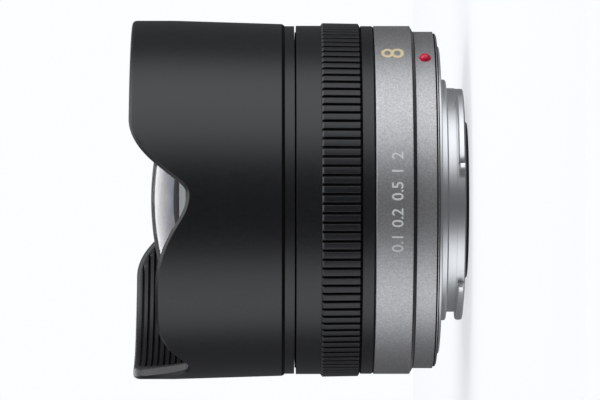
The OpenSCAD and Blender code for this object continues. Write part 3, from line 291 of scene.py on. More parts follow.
def skin(name, grid, join_rows=True, join_columns=True, crisp=32):
    """Mesh of a grid of points (rows, columns, xyz in mm): one face for each cell, either direction closed
    on itself where asked. Points that fall together are merged, and edges bent more than crisp degrees
    stay sharp. The attribute edge keeps the outward bend at each point, for worn finishes."""
    rows, columns = grid.shape[:2]
    i = np.arange(rows if join_rows else rows - 1)[:, None]
    j = np.arange(columns if join_columns else columns - 1)[None, :]
    up, over = (i + 1) % rows, (j + 1) % columns
    faces = np.stack(np.broadcast_arrays(
        i * columns + j, i * columns + over, up * columns + over, up * columns + j), -1).reshape(-1, 4)
    mesh = bpy.data.meshes.new(name)
    mesh.from_pydata((grid.reshape(-1, 3) * MM).tolist(), [], faces.tolist())
    work = bmesh.new()
    work.from_mesh(mesh)
    bmesh.ops.remove_doubles(work, verts=work.verts, dist=2e-7)
    bmesh.ops.dissolve_degenerate(work, edges=work.edges, dist=2e-7)
    work.to_mesh(mesh)
    work.free()
    mesh.attributes.new("edge", "FLOAT", "POINT").data.foreach_set("value", outward_bend(mesh))
    mesh.polygons.foreach_set("use_smooth", np.ones(len(mesh.polygons), bool))
    mesh.set_sharp_from_angle(angle=np.radians(crisp))
    piece = bpy.data.objects.new(name, mesh)
    bpy.context.scene.collection.objects.link(piece)
    return piece


def lathe(name, section, sides=288, crisp=32):
    """Turned piece: section point (r, z) at turn t lies at (r cos t, r sin t, z). The section is put
    anticlockwise by the sign of its area, so that faces point outwards."""
    line = np.asarray(section, float)
    ahead = np.roll(line, -1, 0)
    if (line[:, 0] * ahead[:, 1] - ahead[:, 0] * line[:, 1]).sum() < 0:
        line = line[::-1]
    turn = np.linspace(0, TAU, sides, endpoint=False)
    grid = np.stack([np.outer(line[:, 0], np.cos(turn)), np.outer(line[:, 0], np.sin(turn)),
                     np.outer(line[:, 1], np.ones(sides))], -1)
    return skin(name, grid, crisp=crisp)


def fit_out(piece, material, body, slot, *nodes):
    """Gives a new piece its finish and the body that carries it, and hides the CAD nodes it stands for. The
    slot is not used.
    """
    piece.data.materials.append(material)
    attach(piece, body)
    if nodes:
        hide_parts(*nodes)
    return piece


def flake_lacquer(name, tones, rough, flake, metal):
    """Metallic lacquer: every cell of a Voronoi pattern, one flake about flake mm wide, takes its own tone
    and its own small tilt. The specular tint dims it where it is seen at a grazing angle."""
    material = bpy.data.materials.new(name)
    material.use_nodes = True
    nodes, links = material.node_tree.nodes, material.node_tree.links
    shade = nodes["Principled BSDF"]
    shade.inputs["Metallic"].default_value = metal
    shade.inputs["Specular Tint"].default_value = (0.55, 0.55, 0.57, 1)
    place = nodes.new("ShaderNodeTexCoord")
    cells = nodes.new("ShaderNodeTexVoronoi")
    cells.inputs["Scale"].default_value = 1 / (flake * MM)
    pick = nodes.new("ShaderNodeSeparateColor")
    tone = nodes.new("ShaderNodeValToRGB")
    for stop, at, colour in zip(tone.color_ramp.elements, (0.1, 0.9), tones):
        stop.position = at
        stop.color = (*colour, 1)
    gloss = nodes.new("ShaderNodeMapRange")
    for socket, value in zip(("From Min", "From Max", "To Min", "To Max"), (0, 1, *rough)):
        gloss.inputs[socket].default_value = value
    tilt = nodes.new("ShaderNodeBump")
    tilt.inputs["Distance"].default_value = 0.004 * MM
    links.new(place.outputs["Object"], cells.inputs["Vector"])
    links.new(cells.outputs["Color"], pick.inputs["Color"])
    links.new(pick.outputs["Red"], tone.inputs["Fac"])
    links.new(pick.outputs["Green"], gloss.inputs["Value"])
    links.new(pick.outputs["Blue"], tilt.inputs["Height"])
    links.new(tone.outputs["Color"], shade.inputs["Base Color"])
    links.new(gloss.outputs["Result"], shade.inputs["Roughness"])
    links.new(tilt.outputs["Normal"], shade.inputs["Normal"])
    return material


grey_lacquer = flake_lacquer(
    "grey_lacquer", ((0.415, 0.41, 0.416), (0.555, 0.55, 0.556)), (0.42, 0.5), 0.15, 0.95)
rear_barrel = lathe("rear_barrel_sleeve", rounded([
    (BARREL_IN, BARREL_LOW, 0.05), (BARREL_R, BARREL_LOW, 0.1), (BARREL_R, BARREL_TOP, 0.2),
    (BARREL_IN, BARREL_TOP, 0.05)]))
fit_out(rear_barrel, grey_lacquer, "barrel", "grey_paint", "rear_barrel")


# Printed numbers on the rear barrel: a plain row of distances in white and one large gold figure over
# the index dot. Pad-printed ink, a few hundredths of a millimetre thick.
PRINT_R = BARREL_R + 0.03
DISTANCES = (("0.1", 20.0), ("0.2", 28.5), ("0.5", 37.0), ("1", 43.5), ("2", 48.5))
DISTANCE_LOW, DISTANCE_HIGH, DISTANCE_BOLD = 6.6, 8.5, 0.012
FIGURE_DEG, FIGURE_LOW, FIGURE_HIGH, FIGURE_WIDE, FIGURE_BOLD = 90.0, 6.2, 10.0, 2.9, 0.006


def figure(text, middle_deg, low, high, bold, wide=None):
    """Outline of a number, filled and made bold, in the built-in face, then wrapped on the barrel: a point
    x to the right and y up lies at angle middle + x / r and height low + y, with y stretched to reach
    from low to high."""
    curve = bpy.data.curves.new(text, "FONT")
    curve.body = text
    curve.offset = bold
    curve.resolution_u = 6
    carrier = bpy.data.objects.new(text, curve)
    bpy.context.scene.collection.objects.link(carrier)
    bpy.context.view_layer.update()
    mesh = bpy.data.meshes.new_from_object(carrier)
    bpy.data.objects.remove(carrier)
    bpy.data.curves.remove(curve)
    work = bmesh.new()
    work.from_mesh(mesh)
    bmesh.ops.remove_doubles(work, verts=work.verts, dist=1e-5)
    bmesh.ops.triangulate(work, faces=work.faces)
    bmesh.ops.subdivide_edges(work, edges=work.edges, cuts=2, use_grid_fill=True)
    work.to_mesh(mesh)
    work.free()
    flat = np.empty(len(mesh.vertices) * 3)
    mesh.vertices.foreach_get("co", flat)
    flat = flat.reshape(-1, 3)
    small, large = flat.min(0), flat.max(0)
    scale = (high - low) / (large[1] - small[1])
    stretch = wide / (large[0] - small[0]) if wide else scale
    angle = np.radians(middle_deg) + (flat[:, 0] - (small[0] + large[0]) / 2) * stretch / PRINT_R
    height = low + (flat[:, 1] - small[1]) * scale
    place = np.stack([PRINT_R * np.cos(angle), PRINT_R * np.sin(angle), height], -1)
    mesh.vertices.foreach_set("co", (place * MM).ravel())
    mesh.update()
    return mesh


def join(name, meshes):
    """One object from several meshes that are already in place."""
    work = bmesh.new()
    for mesh in meshes:
        work.from_mesh(mesh)
        bpy.data.meshes.remove(mesh)
    whole = bpy.data.meshes.new(name)
    work.to_mesh(whole)
    work.free()
    piece = bpy.data.objects.new(name, whole)
    bpy.context.scene.collection.objects.link(piece)
    return piece


white_ink = finish("white_ink", ((0.76, 0.76, 0.75), (0.84, 0.84, 0.83)), (0.4, 0.5), 0.3, 0.002)
gold_ink = finish("gold_ink", ((0.85, 0.69, 0.42), (0.92, 0.77, 0.5)), (0.35, 0.45), 0.3, 0.002)
distances = join("distance_numbers", [
    figure(text, at, DISTANCE_LOW, DISTANCE_HIGH, DISTANCE_BOLD) for text, at in DISTANCES])
fit_out(distances, white_ink, "barrel", "white_plastic")
large_figure = join("large_number", [
    figure("8", FIGURE_DEG, FIGURE_LOW, FIGURE_HIGH, FIGURE_BOLD, FIGURE_WIDE)])
fit_out(large_figure, gold_ink, "barrel", "gold")


# Accent ring: a thin glossy black cone between rear barrel and collar. Moulded plastic with a polished
# face, clamped when the collar is pushed home.
ACCENT_IN, ACCENT_REAR_R, ACCENT_FRONT_R, ACCENT_LOW = 26.8, 28.4, 29.37, 4.35
glossy_black = finish(
    "glossy_black", ((0.008, 0.008, 0.009), (0.012, 0.012, 0.013)), (0.08, 0.14), 1.5, 0.001)
accent_ring = lathe("accent_cone", rounded([
    (ACCENT_IN, ACCENT_LOW, 0.0), (ACCENT_REAR_R, ACCENT_LOW, 0.04), (ACCENT_FRONT_R, BARREL_LOW, 0.04),
    (ACCENT_IN, BARREL_LOW, 0.0)]))
fit_out(accent_ring, glossy_black, "barrel", "gloss_black", "accent_ring")


# Mount collar: the grey ring round the mount, turned aluminium in the same lacquer as the rear barrel,
# with a groove, a narrow land and a shadow line at its rear end, both painted near-black as painted
# shade. The mount plate's step sits in its floor.
COLLAR_R, COLLAR_LOW, COLLAR_TOP, COLLAR_IN = 28.5, 0.5, ACCENT_LOW, ACCENT_IN
COLLAR_BORE, FLOOR_TOP = 25.0, 1.3
SHADE_R, SHADE_TOP, STEP_R, STEP_TOP, GROOVE_TOP = 27.9, 0.66, 28.22, 0.82, 1.06


def part_finish(piece, material, rule):
    """Further finish for the faces that a rule picks. The rule is given three arrays: radius and height
    (mm) of the middle of each face, and the radial share of its normal."""
    mesh = piece.data
    mesh.materials.append(material)
    middle, normal = np.empty((2, len(mesh.polygons) * 3))
    mesh.polygons.foreach_get("center", middle)
    mesh.polygons.foreach_get("normal", normal)
    middle, normal = middle.reshape(-1, 3) / MM, normal.reshape(-1, 3)
    radius = np.hypot(middle[:, 0], middle[:, 1])
    outward = (middle[:, :2] * normal[:, :2]).sum(1) / np.maximum(radius, 1e-6)
    finishes = np.empty(len(mesh.polygons), np.int32)
    mesh.polygons.foreach_get("material_index", finishes)
    finishes[rule(radius, middle[:, 2], outward)] = len(mesh.materials) - 1
    mesh.polygons.foreach_set("material_index", finishes)


# Near-black, nearly shineless finish laid on gaps, grooves and recesses: painted shade.
painted_shade_black = finish(
    "painted_shade_black", ((0.002, 0.002, 0.002), (0.004, 0.004, 0.004)), (0.65, 0.75), 0.4, 0.002, shine=0.1)
mount_collar = lathe("grey_collar", rounded([
    (COLLAR_BORE, COLLAR_LOW, 0.0), (SHADE_R, COLLAR_LOW, 0.0), (SHADE_R, SHADE_TOP, 0.0),
    (STEP_R, SHADE_TOP, 0.02), (STEP_R, STEP_TOP, 0.02), (SHADE_R, STEP_TOP, 0.0),
    (SHADE_R, GROOVE_TOP, 0.0), (COLLAR_R, GROOVE_TOP, 0.03), (COLLAR_R, COLLAR_TOP, 0.08),
    (COLLAR_IN, COLLAR_TOP, 0.0), (COLLAR_IN, FLOOR_TOP, 0.0), (COLLAR_BORE, FLOOR_TOP, 0.0)]))
fit_out(mount_collar, grey_lacquer, "barrel", "grey_paint", "mount_collar")
# The collar's groove and rear shadow line are painted near-black: painted shade.
part_finish(mount_collar, painted_shade_black, lambda radius, height, outward: (
    (height < GROOVE_TOP + 0.001) & (radius < STEP_R - 0.02) & (radius > SHADE_R - 0.05)))


# Index dot: a small red enamel bead on the collar's side that shows where the lens enters the mount.
# Pressed into a drilled seat, it stands up as a small dome.
DOT_R, DOT_Z, DOT_RISE, DOT_DEEP, DOT_SIDES = 1.0, 2.656, 0.8, 0.6, 48
red_enamel = finish("red_enamel", ((0.74, 0.014, 0.055), (0.84, 0.02, 0.075)), (0.08, 0.14), 0.5, 0.001)
rise = np.linspace(0, 1, 12)
ball_r = (DOT_R ** 2 + DOT_RISE ** 2) / (2 * DOT_RISE)
dome_r = DOT_R * np.sin(rise * np.pi / 2)
dome = np.stack([dome_r, DOT_RISE - ball_r + np.sqrt(ball_r ** 2 - dome_r ** 2)], -1)
turn = np.linspace(0, TAU, DOT_SIDES, endpoint=False)
dot_line = np.concatenate([[[0, -DOT_DEEP]], [[DOT_R, -DOT_DEEP]], dome[::-1]])
dot_grid = np.stack([
    np.outer(dot_line[:, 0], np.cos(turn)),
    COLLAR_R + np.outer(dot_line[:, 1], np.ones(DOT_SIDES)),
    DOT_Z - np.outer(dot_line[:, 0], np.sin(turn))], -1)
index_dot = skin("index_bead", dot_grid)
fit_out(index_dot, red_enamel, "barrel", "red_enamel", "index_dot")


# Mount plate and its screws: the flange that bears on the camera, turned brass plated with chrome, held
# by four countersunk screws that run on into the chassis base.
bright_chrome = turned(
    "bright_chrome", ((0.77, 0.775, 0.785), (0.85, 0.855, 0.865)), (0.34, 0.42), 0.09, 0.0006, metal=0.9)
dress(bright_chrome, "mount_plate")
dress(bright_steel, "mount_screws")


# Bayonet ring: register, neck and three lugs in one turned and milled piece of the same plated brass,
# seated in the mount plate from inside so that its step lies flush with the flange.
REGISTER_R, REGISTER_H, NECK_R, TUBE_L, TUBE_IN = 20.4, 1.2, 18.95, 4.1, 16.9
PLATE_SEAT_R, PLATE_SEAT_TOP, PLATE_RIM_R, PLATE_RIM_TOP = 20.8, 0.6, 21.3, 1.3
LUG_R, LUG_T, LUG_Z = 20.3, 1.1, 2.85
LUG_ROOT = NECK_R - 0.5
NECK_REAR_R, NECK_STEP_Z = NECK_R - 0.1, 0.2 - LUG_Z
STOP_LOW, STOP_TOP = 0.05 - TUBE_L, -LUG_Z - 0.1
LUGS = ((52.6, 43.7), (-69.7, 57.5), (163.0, 55.0))
STOP = (47.3, 4.6)


def segment(inner, outer, low, high, start_deg, span_deg, edge=0.18, steps=48):
    """Part of a turned ring: a rectangle of section with its outer edges cut by edge mm, carried from
    start_deg over span_deg. The last millimetre at each end runs in by edge mm, and each end closes on a
    flat cap, the section drawn together on its own middle."""
    line = np.array([
        (inner, low), (outer - edge, low), (outer, low + edge), (outer, high - edge), (outer - edge, high),
        (inner, high)])
    run = np.degrees(1.0 / outer)
    share = np.concatenate([[0, 0], np.linspace(0, run, 4)[1:], np.linspace(run, span_deg - run, steps),
                            np.linspace(span_deg - run, span_deg, 4)[1:], [span_deg]])
    angle = np.radians(start_deg + share)
    near = np.minimum(share, span_deg - share)
    cut = edge * (1 - np.clip(near / run, 0, 1)) ** 2
    r = line[:, :1] - cut[None, :] * (line[:, :1] > inner + 0.1)
    z = np.repeat(line[:, 1:], len(share), 1)
    r[:, [0, -1]] = (inner + outer) / 2
    z[:, [0, -1]] = (low + high) / 2
    return np.stack([r * np.cos(angle), r * np.sin(angle), z], -1)


parts = [lathe("register_and_neck", rounded([
    (TUBE_IN, -TUBE_L, 0.15), (NECK_REAR_R, -TUBE_L, 0.3), (NECK_REAR_R, NECK_STEP_Z, 0.0),
    (NECK_R, NECK_STEP_Z, 0.05), (NECK_R, -REGISTER_H, 0.1), (REGISTER_R, -REGISTER_H, 0.35),
    (REGISTER_R, 0.0, 0.0), (PLATE_SEAT_R, 0.0, 0.04), (PLATE_SEAT_R, PLATE_SEAT_TOP, 0.0),
    (PLATE_RIM_R, PLATE_SEAT_TOP, 0.0), (PLATE_RIM_R, PLATE_RIM_TOP, 0.0), (TUBE_IN, PLATE_RIM_TOP, 0.1)]))]
parts += [skin("lug", segment(LUG_ROOT, LUG_R, -LUG_Z - LUG_T, -LUG_Z, *lug), join_columns=False)
          for lug in LUGS]
parts.append(skin("stop", segment(LUG_ROOT, LUG_R, STOP_LOW, STOP_TOP, *STOP, steps=8), join_columns=False))
meshes = [part.data for part in parts]
for part in parts:
    bpy.data.objects.remove(part)
bayonet_ring = join("bayonet_with_lugs", meshes)
fit_out(bayonet_ring, bright_chrome, "barrel", "chrome", "bayonet_ring")


# Contact pins: eleven spring pins that stand out of the moulded block inside the tube and carry signals
# and power between camera and lens. Turned brass with gold plating, pressed in.
contact_gold = finish(
    "contact_gold", ((0.72, 0.5, 0.19), (0.82, 0.6, 0.26)), (0.16, 0.26), 0.3, 0.001, metal=1.0)
dress(contact_gold, "contact_pins")


# Rear baffle: a thin black cap with an oblong window behind the last glass that keeps stray light from
# the sensor. Moulded matt plastic, pressed into the bayonet tube.
flock_black = finish(
    "flock_black", ((0.012, 0.012, 0.012), (0.02, 0.02, 0.021)), (0.55, 0.7), 0.35, 0.01)
dress(flock_black, "rear_baffle")


# Focus ring: a sleeve with two plain bands that turns freely on the chassis tube and drives focus by
# wire. Black plastic, moulded and lightly textured, with small broken edges at both ends.
SLEEVE_R, LAND_R = 28.6, 26.9
RING_LOW, GRIP_LOW, GRIP_TOP, RING_TOP = 11.3, 13.2, 19.9, 24.1
BAND_REAR, BAND_FRONT = 29.45, 29.5
LIP_REAR, LIP_FRONT, LIP_LOW, LIP_TOP = 29.3, 28.4, 11.12, 24.3
satin_black = finish(
    "satin_black", ((0.0065, 0.007, 0.0085), (0.0085, 0.009, 0.0105)), (0.33, 0.39), 0.5, 0.004,
    shine=0.6, rubbed=(0.013, 0.013, 0.014))
focus_sleeve = lathe("focus_sleeve_bands", rounded([
    (LAND_R, LIP_LOW, 0.0), (LIP_REAR, LIP_LOW, 0.0), (LIP_REAR, RING_LOW, 0.0),
    (BAND_REAR, RING_LOW, 0.05), (BAND_REAR, GRIP_LOW, 0.06), (SLEEVE_R, GRIP_LOW, 0.0),
    (SLEEVE_R, GRIP_TOP, 0.0), (BAND_FRONT, GRIP_TOP, 0.06), (BAND_FRONT, RING_TOP, 0.04),
    (LIP_FRONT, RING_TOP, 0.0), (LIP_FRONT, LIP_TOP, 0.0), (LAND_R, LIP_TOP, 0.0)]))
fit_out(focus_sleeve, satin_black, "focus_ring", "black_plastic", "focus_sleeve")
# The lips and end faces in the gaps at both ends are painted near-black: painted shade.
part_finish(focus_sleeve, painted_shade_black, lambda radius, height, outward: (
    (radius < LIP_REAR + 0.01) & ((height < RING_LOW + 0.001) | (height > RING_TOP - 0.001))))


# Ribbed grip: a band of synthetic rubber stretched into the groove between the two bands. It is moulded
# with 120 slightly crowned ribs; the narrow grooves, darkened as painted shade, end in front at a bevel
# painted pale as a painted highlight, and a fine slot, painted near-black as painted shade, parts their
# sloping rear ends from the sleeve.
RIBS, CREST_FRONT, CREST_REAR, GROOVE_R, GRIP_IN = 120, 29.95, 29.85, 29.35, 28.64
GROOVE_FLOOR, GROOVE_EDGE, EDGE_TURN, CREST_EDGE = 0.13, 0.26, 0.3, 0.35
FRONT_BEVEL, RUN_OUT, RUN_OUT_END, GROOVE_SHADE_R = 0.3, 0.12, 0.03, 29.8
SLOT_R, SLOT_WIDE, SLOPE_R, SLOPE_END, CREST_START = 29.25, 0.2, 29.47, 0.42, 0.55
ring_rubber = finish(
    "ring_rubber", ((0.006, 0.0065, 0.0075), (0.008, 0.0085, 0.0095)), (0.38, 0.46), 0.35, 0.006,
    shine=0.55, rubbed=(0.024, 0.024, 0.025))
# Darker, duller rubber for the groove walls and floors: painted shade in the grooves.
groove_painted_shade = finish(
    "groove_painted_shade", ((0.0045, 0.0045, 0.005), (0.0065, 0.0065, 0.007)), (0.55, 0.65), 0.35, 0.004,
    shine=0.35)
# Pale rubber tone for the ribs' front bevel: a painted highlight.
bevel_painted_highlight = finish(
    "bevel_painted_highlight", ((0.04, 0.04, 0.042), (0.065, 0.065, 0.068)), (0.36, 0.45), 0.3, 0.006)
pitch = TAU * CREST_FRONT / RIBS
across = np.array([0, 0.06, GROOVE_FLOOR, 0.19, GROOVE_EDGE, EDGE_TURN, CREST_EDGE, 0.5])
across = np.concatenate([across, [pitch / 2], (pitch - across[1:])[::-1]])
turn = ((np.arange(RIBS)[:, None] * pitch + across[None, :]) / CREST_FRONT).ravel()
from_groove = np.tile(np.minimum(across, pitch - across), RIBS)
open_share = np.interp(
    from_groove, [GROOVE_FLOOR, GROOVE_EDGE, EDGE_TURN, CREST_EDGE, pitch / 2], [1, 0.12, 0.05, 0.03, 0])
bevel_z = GRIP_TOP - FRONT_BEVEL
rear_rows = [0, 0.01, SLOT_WIDE - 0.01, SLOT_WIDE, 0.27, 0.35, SLOPE_END, 0.48, CREST_START, 0.7]
crown_rows = [15.0, 16.5, 18.0, 19.2]
bevel_rows = [-0.1, -0.04, 0, 0.04, 0.1, 0.15, 0.19, 0.23, 0.27, FRONT_BEVEL]
grip_z = np.concatenate([GRIP_LOW + np.array(rear_rows), crown_rows, bevel_z + np.array(bevel_rows)])
rear_turns = GRIP_LOW + np.array([0, SLOT_WIDE - 0.01, SLOT_WIDE, SLOPE_END, CREST_START])
crest = np.interp(grip_z, [*rear_turns, bevel_z, GRIP_TOP], [
    SLOT_R, SLOT_R, SLOPE_R, CREST_REAR - 0.04, CREST_REAR, CREST_FRONT, CREST_FRONT - FRONT_BEVEL])
run_out = np.clip((GRIP_TOP - RUN_OUT_END - grip_z) / RUN_OUT, 0, 1)
depth = np.maximum(crest - GROOVE_R, 0) * run_out * run_out * (3 - 2 * run_out)
grip_r = crest[:, None] - open_share[None, :] * depth[:, None]
inner_r = np.full((2, turn.size), GRIP_IN)
inner_z = np.array([[GRIP_TOP], [GRIP_LOW]]) * np.ones(turn.size)
grip_r = np.concatenate([grip_r, inner_r])
grip_z = np.concatenate([grip_z[:, None] * np.ones(turn.size), inner_z])
grip_grid = np.stack([grip_r * np.cos(turn), grip_r * np.sin(turn), grip_z], -1)
focus_grip = skin("ribbed_grip", grip_grid, crisp=24)
fit_out(focus_grip, ring_rubber, "focus_ring", "grip_rubber", "focus_grip")
# Grooves darkened as painted shade, the rear slot near-black as painted shade, the front bevel pale as a
# painted highlight.
part_finish(focus_grip, groove_painted_shade, lambda radius, height, outward: (
    (radius > SLOT_R - 0.1) & (radius < GROOVE_SHADE_R) & (height < bevel_z - 0.05)))
part_finish(focus_grip, painted_shade_black, lambda radius, height, outward: (
    (radius > SLOT_R - 0.1) & (radius < GROOVE_SHADE_R) & (height < GRIP_LOW + SLOPE_END)))
part_finish(focus_grip, bevel_painted_highlight, lambda radius, height, outward: (
    (radius > CREST_FRONT - FRONT_BEVEL) & (height > bevel_z) & (outward > 0.4)))


# Front frame: the moulded piece behind the hood whose narrow trim band shows outside, and whose floor
# lies round the front glass inside the hood.
dress(satin_black, "front_frame")


# Front element: the strongly domed first glass, ground and polished with a hollow rear face, under a
# coating that leaves a faint red-purple reflection. Its edge and flat seat have a dark paint whose tinge of
# the same colour is a painted reflection, and it sits in the front frame by them.
DOME_R, DOME_TOP, DOME_HALF, SEAT_Z = 45.0, 48.6, 21.6, 38.985
HOLLOW_R, HOLLOW_TOP, HOLLOW_HALF = 13.5, 46.3, 12.0
front_glass = coated_glass("front_glass", 1.75, 102, 1.6)
edge_paint_and_painted_tint = finish("edge_paint_and_painted_tint", ((0.03, 0.014, 0.022), (0.045, 0.022, 0.034)), (0.6, 0.75), 0.4, 0.004)
out = np.linspace(0, 1, 60)
dome_r = DOME_HALF * out
dome_z = DOME_TOP - DOME_R + np.sqrt(DOME_R ** 2 - dome_r ** 2)
hollow_r = HOLLOW_HALF * np.sin(out[::-1] * np.pi / 2)
hollow_z = HOLLOW_TOP - HOLLOW_R + np.sqrt(HOLLOW_R ** 2 - hollow_r ** 2)
front_element = lathe("domed_front_glass", np.concatenate([
    np.stack([hollow_r, hollow_z], -1), np.stack([dome_r, dome_z], -1), [[DOME_HALF, SEAT_Z]]]), sides=256)
fit_out(front_element, front_glass, "barrel", "glass", "front_element")
# Edge and seat painted dark; the red-purple tinge of that paint is a painted reflection.
part_finish(front_element, edge_paint_and_painted_tint, lambda radius, height, outward: (
    (height < SEAT_Z + 0.01) | ((radius > DOME_HALF - 0.01) & (height < dome_z[-1] - 0.1))))


# Front retaining ring: a turned aluminium ring, anodised black, that screws into the frame's groove and
# holds the dome by its rim. Its sloped face catches the light.
FACE_IN, FACE_TOP, FACE_FLAT, FACE_OUT, FACE_LOW = 21.2, 43.44, 22.2, 24.9, 42.34
FOOT_IN, FOOT_OUT, FOOT_LOW, SHOULDER_Z = 23.04, 24.46, 39.4, 41.0
GLASS_IN, GLASS_IN_TOP, RIM_HOLD = 21.64, 43.078, 43.316
ring_anodised = turned(
    "ring_anodised", ((0.13, 0.13, 0.133), (0.18, 0.18, 0.184)), (0.26, 0.36), 0.1, 0.0015, metal=0.6)
retaining_ring = lathe("front_retainer", rounded([
    (FACE_IN, RIM_HOLD, 0.0), (FACE_IN, FACE_TOP, 0.03), (FACE_FLAT, FACE_TOP, 0.08),
    (FACE_OUT, FACE_LOW, 0.12), (FACE_OUT, SHOULDER_Z, 0.0), (FOOT_OUT, SHOULDER_Z, 0.0),
    (FOOT_OUT, FOOT_LOW, 0.0), (FOOT_IN, FOOT_LOW, 0.0), (FOOT_IN, SHOULDER_Z, 0.0),
    (GLASS_IN, SHOULDER_Z, 0.0), (GLASS_IN, GLASS_IN_TOP, 0.0)]))
fit_out(retaining_ring, ring_anodised, "barrel", "black_anodised", "front_retaining_ring")


# Hood barrel: the fixed petal hood, one moulding of satin black plastic pressed over the front frame.
# Four curved notches leave two long and two short petals, light ribs run round inside with their groove
# floors painted near-black as painted shade, and the rear end is rounded down to a line painted near-black
# as painted shadow.
HOOD_LOW, HOOD_TOP, HOOD_R, HOOD_IN, HOOD_SEAT = 26.0, 51.7, 30.35, 28.6, 28.05
NOTCH_DEG, NOTCH_DEEP, SHORT_DROP = 36.0, 9.55, 4.35
LONG_WIDE, LONG_FOOT, LONG_TIP = 12.5, 2.0, 8.0
SHORT_WIDE, SHORT_FOOT, SHORT_TIP, SHORT_OVER = 15.5, 3.8, 10.2, 0.5
RIM_TIP, RIM_NOTCH, RIM_IN = 0.7, 0.5, 0.8
END_ROUND, END_DEG, SHADE_Z, CONE_R, CONE_TOP = 0.85, 55.0, 26.5, 29.8, 44.5
WALL_LOW = HOOD_LOW + END_ROUND * np.sin(np.radians(END_DEG))
RIB_COUNT, RIB_FLOOR, RIB_FLANK, RIB_FADE, LIP_IN = 9, 0.2, 0.45, 0.5, 28.2
HOOD_SIDES = 720


def climb(t, high, wide, foot, tip):
    """Height gained at the distance t up a flank: a parabola over the length foot, a straight run of the
    slope m = high / (wide - (foot + tip) / 2), and a parabola over the length tip that ends level."""
    m = high / (wide - (foot + tip) / 2)
    u = np.clip(t, 0, wide)
    return np.where(u < foot, m * u * u / (2 * foot), np.where(
        u < wide - tip, m * (u - foot / 2), high - m * (wide - u) ** 2 / (2 * tip)))


def petal_edge(radius, turn):
    """Height of the rim: for each notch, t is radius * sin(turn - notch), counted towards the long petal.
    The edge climbs from the notch floor by the full depth on the long side, and to the lower height of the
    short petal on the other. The lowest of the four notches holds."""
    sides = np.array([1, -1, 1, -1])
    notch = np.radians(np.array([NOTCH_DEG, -NOTCH_DEG, 180 + NOTCH_DEG, 180 - NOTCH_DEG]))
    shape = (4,) + (1,) * np.ndim(radius * turn)
    off = np.asarray(turn)[None] - notch.reshape(shape)
    t = sides.reshape(shape) * np.asarray(radius)[None] * np.sin(off)
    long_side = climb(t, NOTCH_DEEP, LONG_WIDE, LONG_FOOT, LONG_TIP)
    short_side = climb(-t, NOTCH_DEEP - SHORT_DROP, SHORT_WIDE, SHORT_FOOT, SHORT_TIP)
    gained = np.where(t >= 0, long_side, short_side)
    short_end = HOOD_R * np.sin(np.radians(NOTCH_DEG)) + SHORT_OVER
    here = (np.cos(off) > 0) & (t > -short_end) & (t < LONG_WIDE)
    return HOOD_TOP - np.where(here, NOTCH_DEEP - gained, 0).max(0)


def rib_radius(z):
    """Inner radius of the hood at height z: a plain lip at the height of the crests, then a saw-like row of
    ribs one millimetre apart down to the front frame, each a groove, a slope and a flat crest, with the
    seat below."""
    step = np.array([0, RIB_FLOOR, RIB_FLANK, 0.999])
    depth = (1 + np.arange(RIB_COUNT)[:, None] + step[None, :]).ravel()
    inner = np.tile([HOOD_IN, HOOD_IN, LIP_IN, LIP_IN], RIB_COUNT)
    depth = np.concatenate([[0, 0.999], depth, [RIB_COUNT + 1.0]])
    inner = np.concatenate([[LIP_IN, LIP_IN], inner, [HOOD_SEAT]])
    return np.interp(HOOD_TOP - z, depth, inner)


turn = np.linspace(0, TAU, HOOD_SIDES, endpoint=False)
even = np.ones(turn.size)
outer_edge = petal_edge(HOOD_R * even, turn)
slope = (np.roll(outer_edge, -1) - np.roll(outer_edge, 1)) / (2 * HOOD_R * TAU / turn.size)
lean = np.sqrt(1 + slope ** 2)
inner_end = petal_edge(LIP_IN * even, turn) - RIM_IN * lean
notched = np.interp(HOOD_TOP - outer_edge, [0.2, 2], [0, 1])
wall_end = outer_edge - (RIM_TIP + notched * (RIM_NOTCH - RIM_TIP)) * lean


def hood_radius(z):
    """Outer radius of the hood at height z, a slight cone below and a cylinder above."""
    return np.interp(z, [WALL_LOW, CONE_TOP, HOOD_TOP], [CONE_R, HOOD_R, HOOD_R])


share = np.concatenate([[0], np.linspace(0.01, 0.985, 14), [1]])[:, None]
wall_z = WALL_LOW + share * (wall_end - WALL_LOW)
wall_r = hood_radius(wall_z)
end_bend = np.radians(np.linspace(END_DEG, 0, 11))[:-1, None]
end_r = CONE_R - END_ROUND * (1 - np.cos(end_bend)) * even
end_z = WALL_LOW - END_ROUND * np.sin(end_bend) * even
step = np.linspace(0, 1, 8)[1:, None]
bend = step * np.pi / 2
in_by = RIM_TIP * (1 - notched) * (1 - np.cos(bend)) + RIM_NOTCH * notched * step
down_by = RIM_TIP * (1 - notched) * (1 - np.sin(bend)) + RIM_NOTCH * notched * (1 - step)
rim_r = hood_radius(wall_end) - in_by
rim_z = petal_edge(rim_r, turn * np.ones_like(rim_r)) - lean * down_by
land_r = rim_r[-1] + np.array([[0.12], [0.5], [0.9]]) * (LIP_IN + RIM_IN - rim_r[-1])
land_z = petal_edge(land_r, turn * np.ones_like(land_r))
lip = np.linspace(0, np.pi / 2, 9)[:, None]
lip_r = LIP_IN + RIM_IN * (1 - np.sin(lip)) * even
lip_z = petal_edge(lip_r, turn * np.ones_like(lip_r)) - RIM_IN * lean * (1 - np.cos(lip))
lip_z[-1] = inner_end
rib_step = np.array([0, RIB_FLOOR, RIB_FLANK, 0.998])
rib_down = (1 + np.arange(RIB_COUNT)[:, None] + rib_step[None, :]).ravel()
rib_z = np.minimum(HOOD_TOP - np.concatenate([[0.998], rib_down])[:, None] * even, inner_end)
rib_r = LIP_IN + (rib_radius(rib_z) - LIP_IN) * np.clip((inner_end - rib_z) / RIB_FADE, 0, 1)
seat_z = np.minimum(np.array([[HOOD_TOP - RIB_COUNT - 1.0], [HOOD_LOW]]) * even, inner_end)
seat_r = np.full_like(seat_z, HOOD_SEAT)
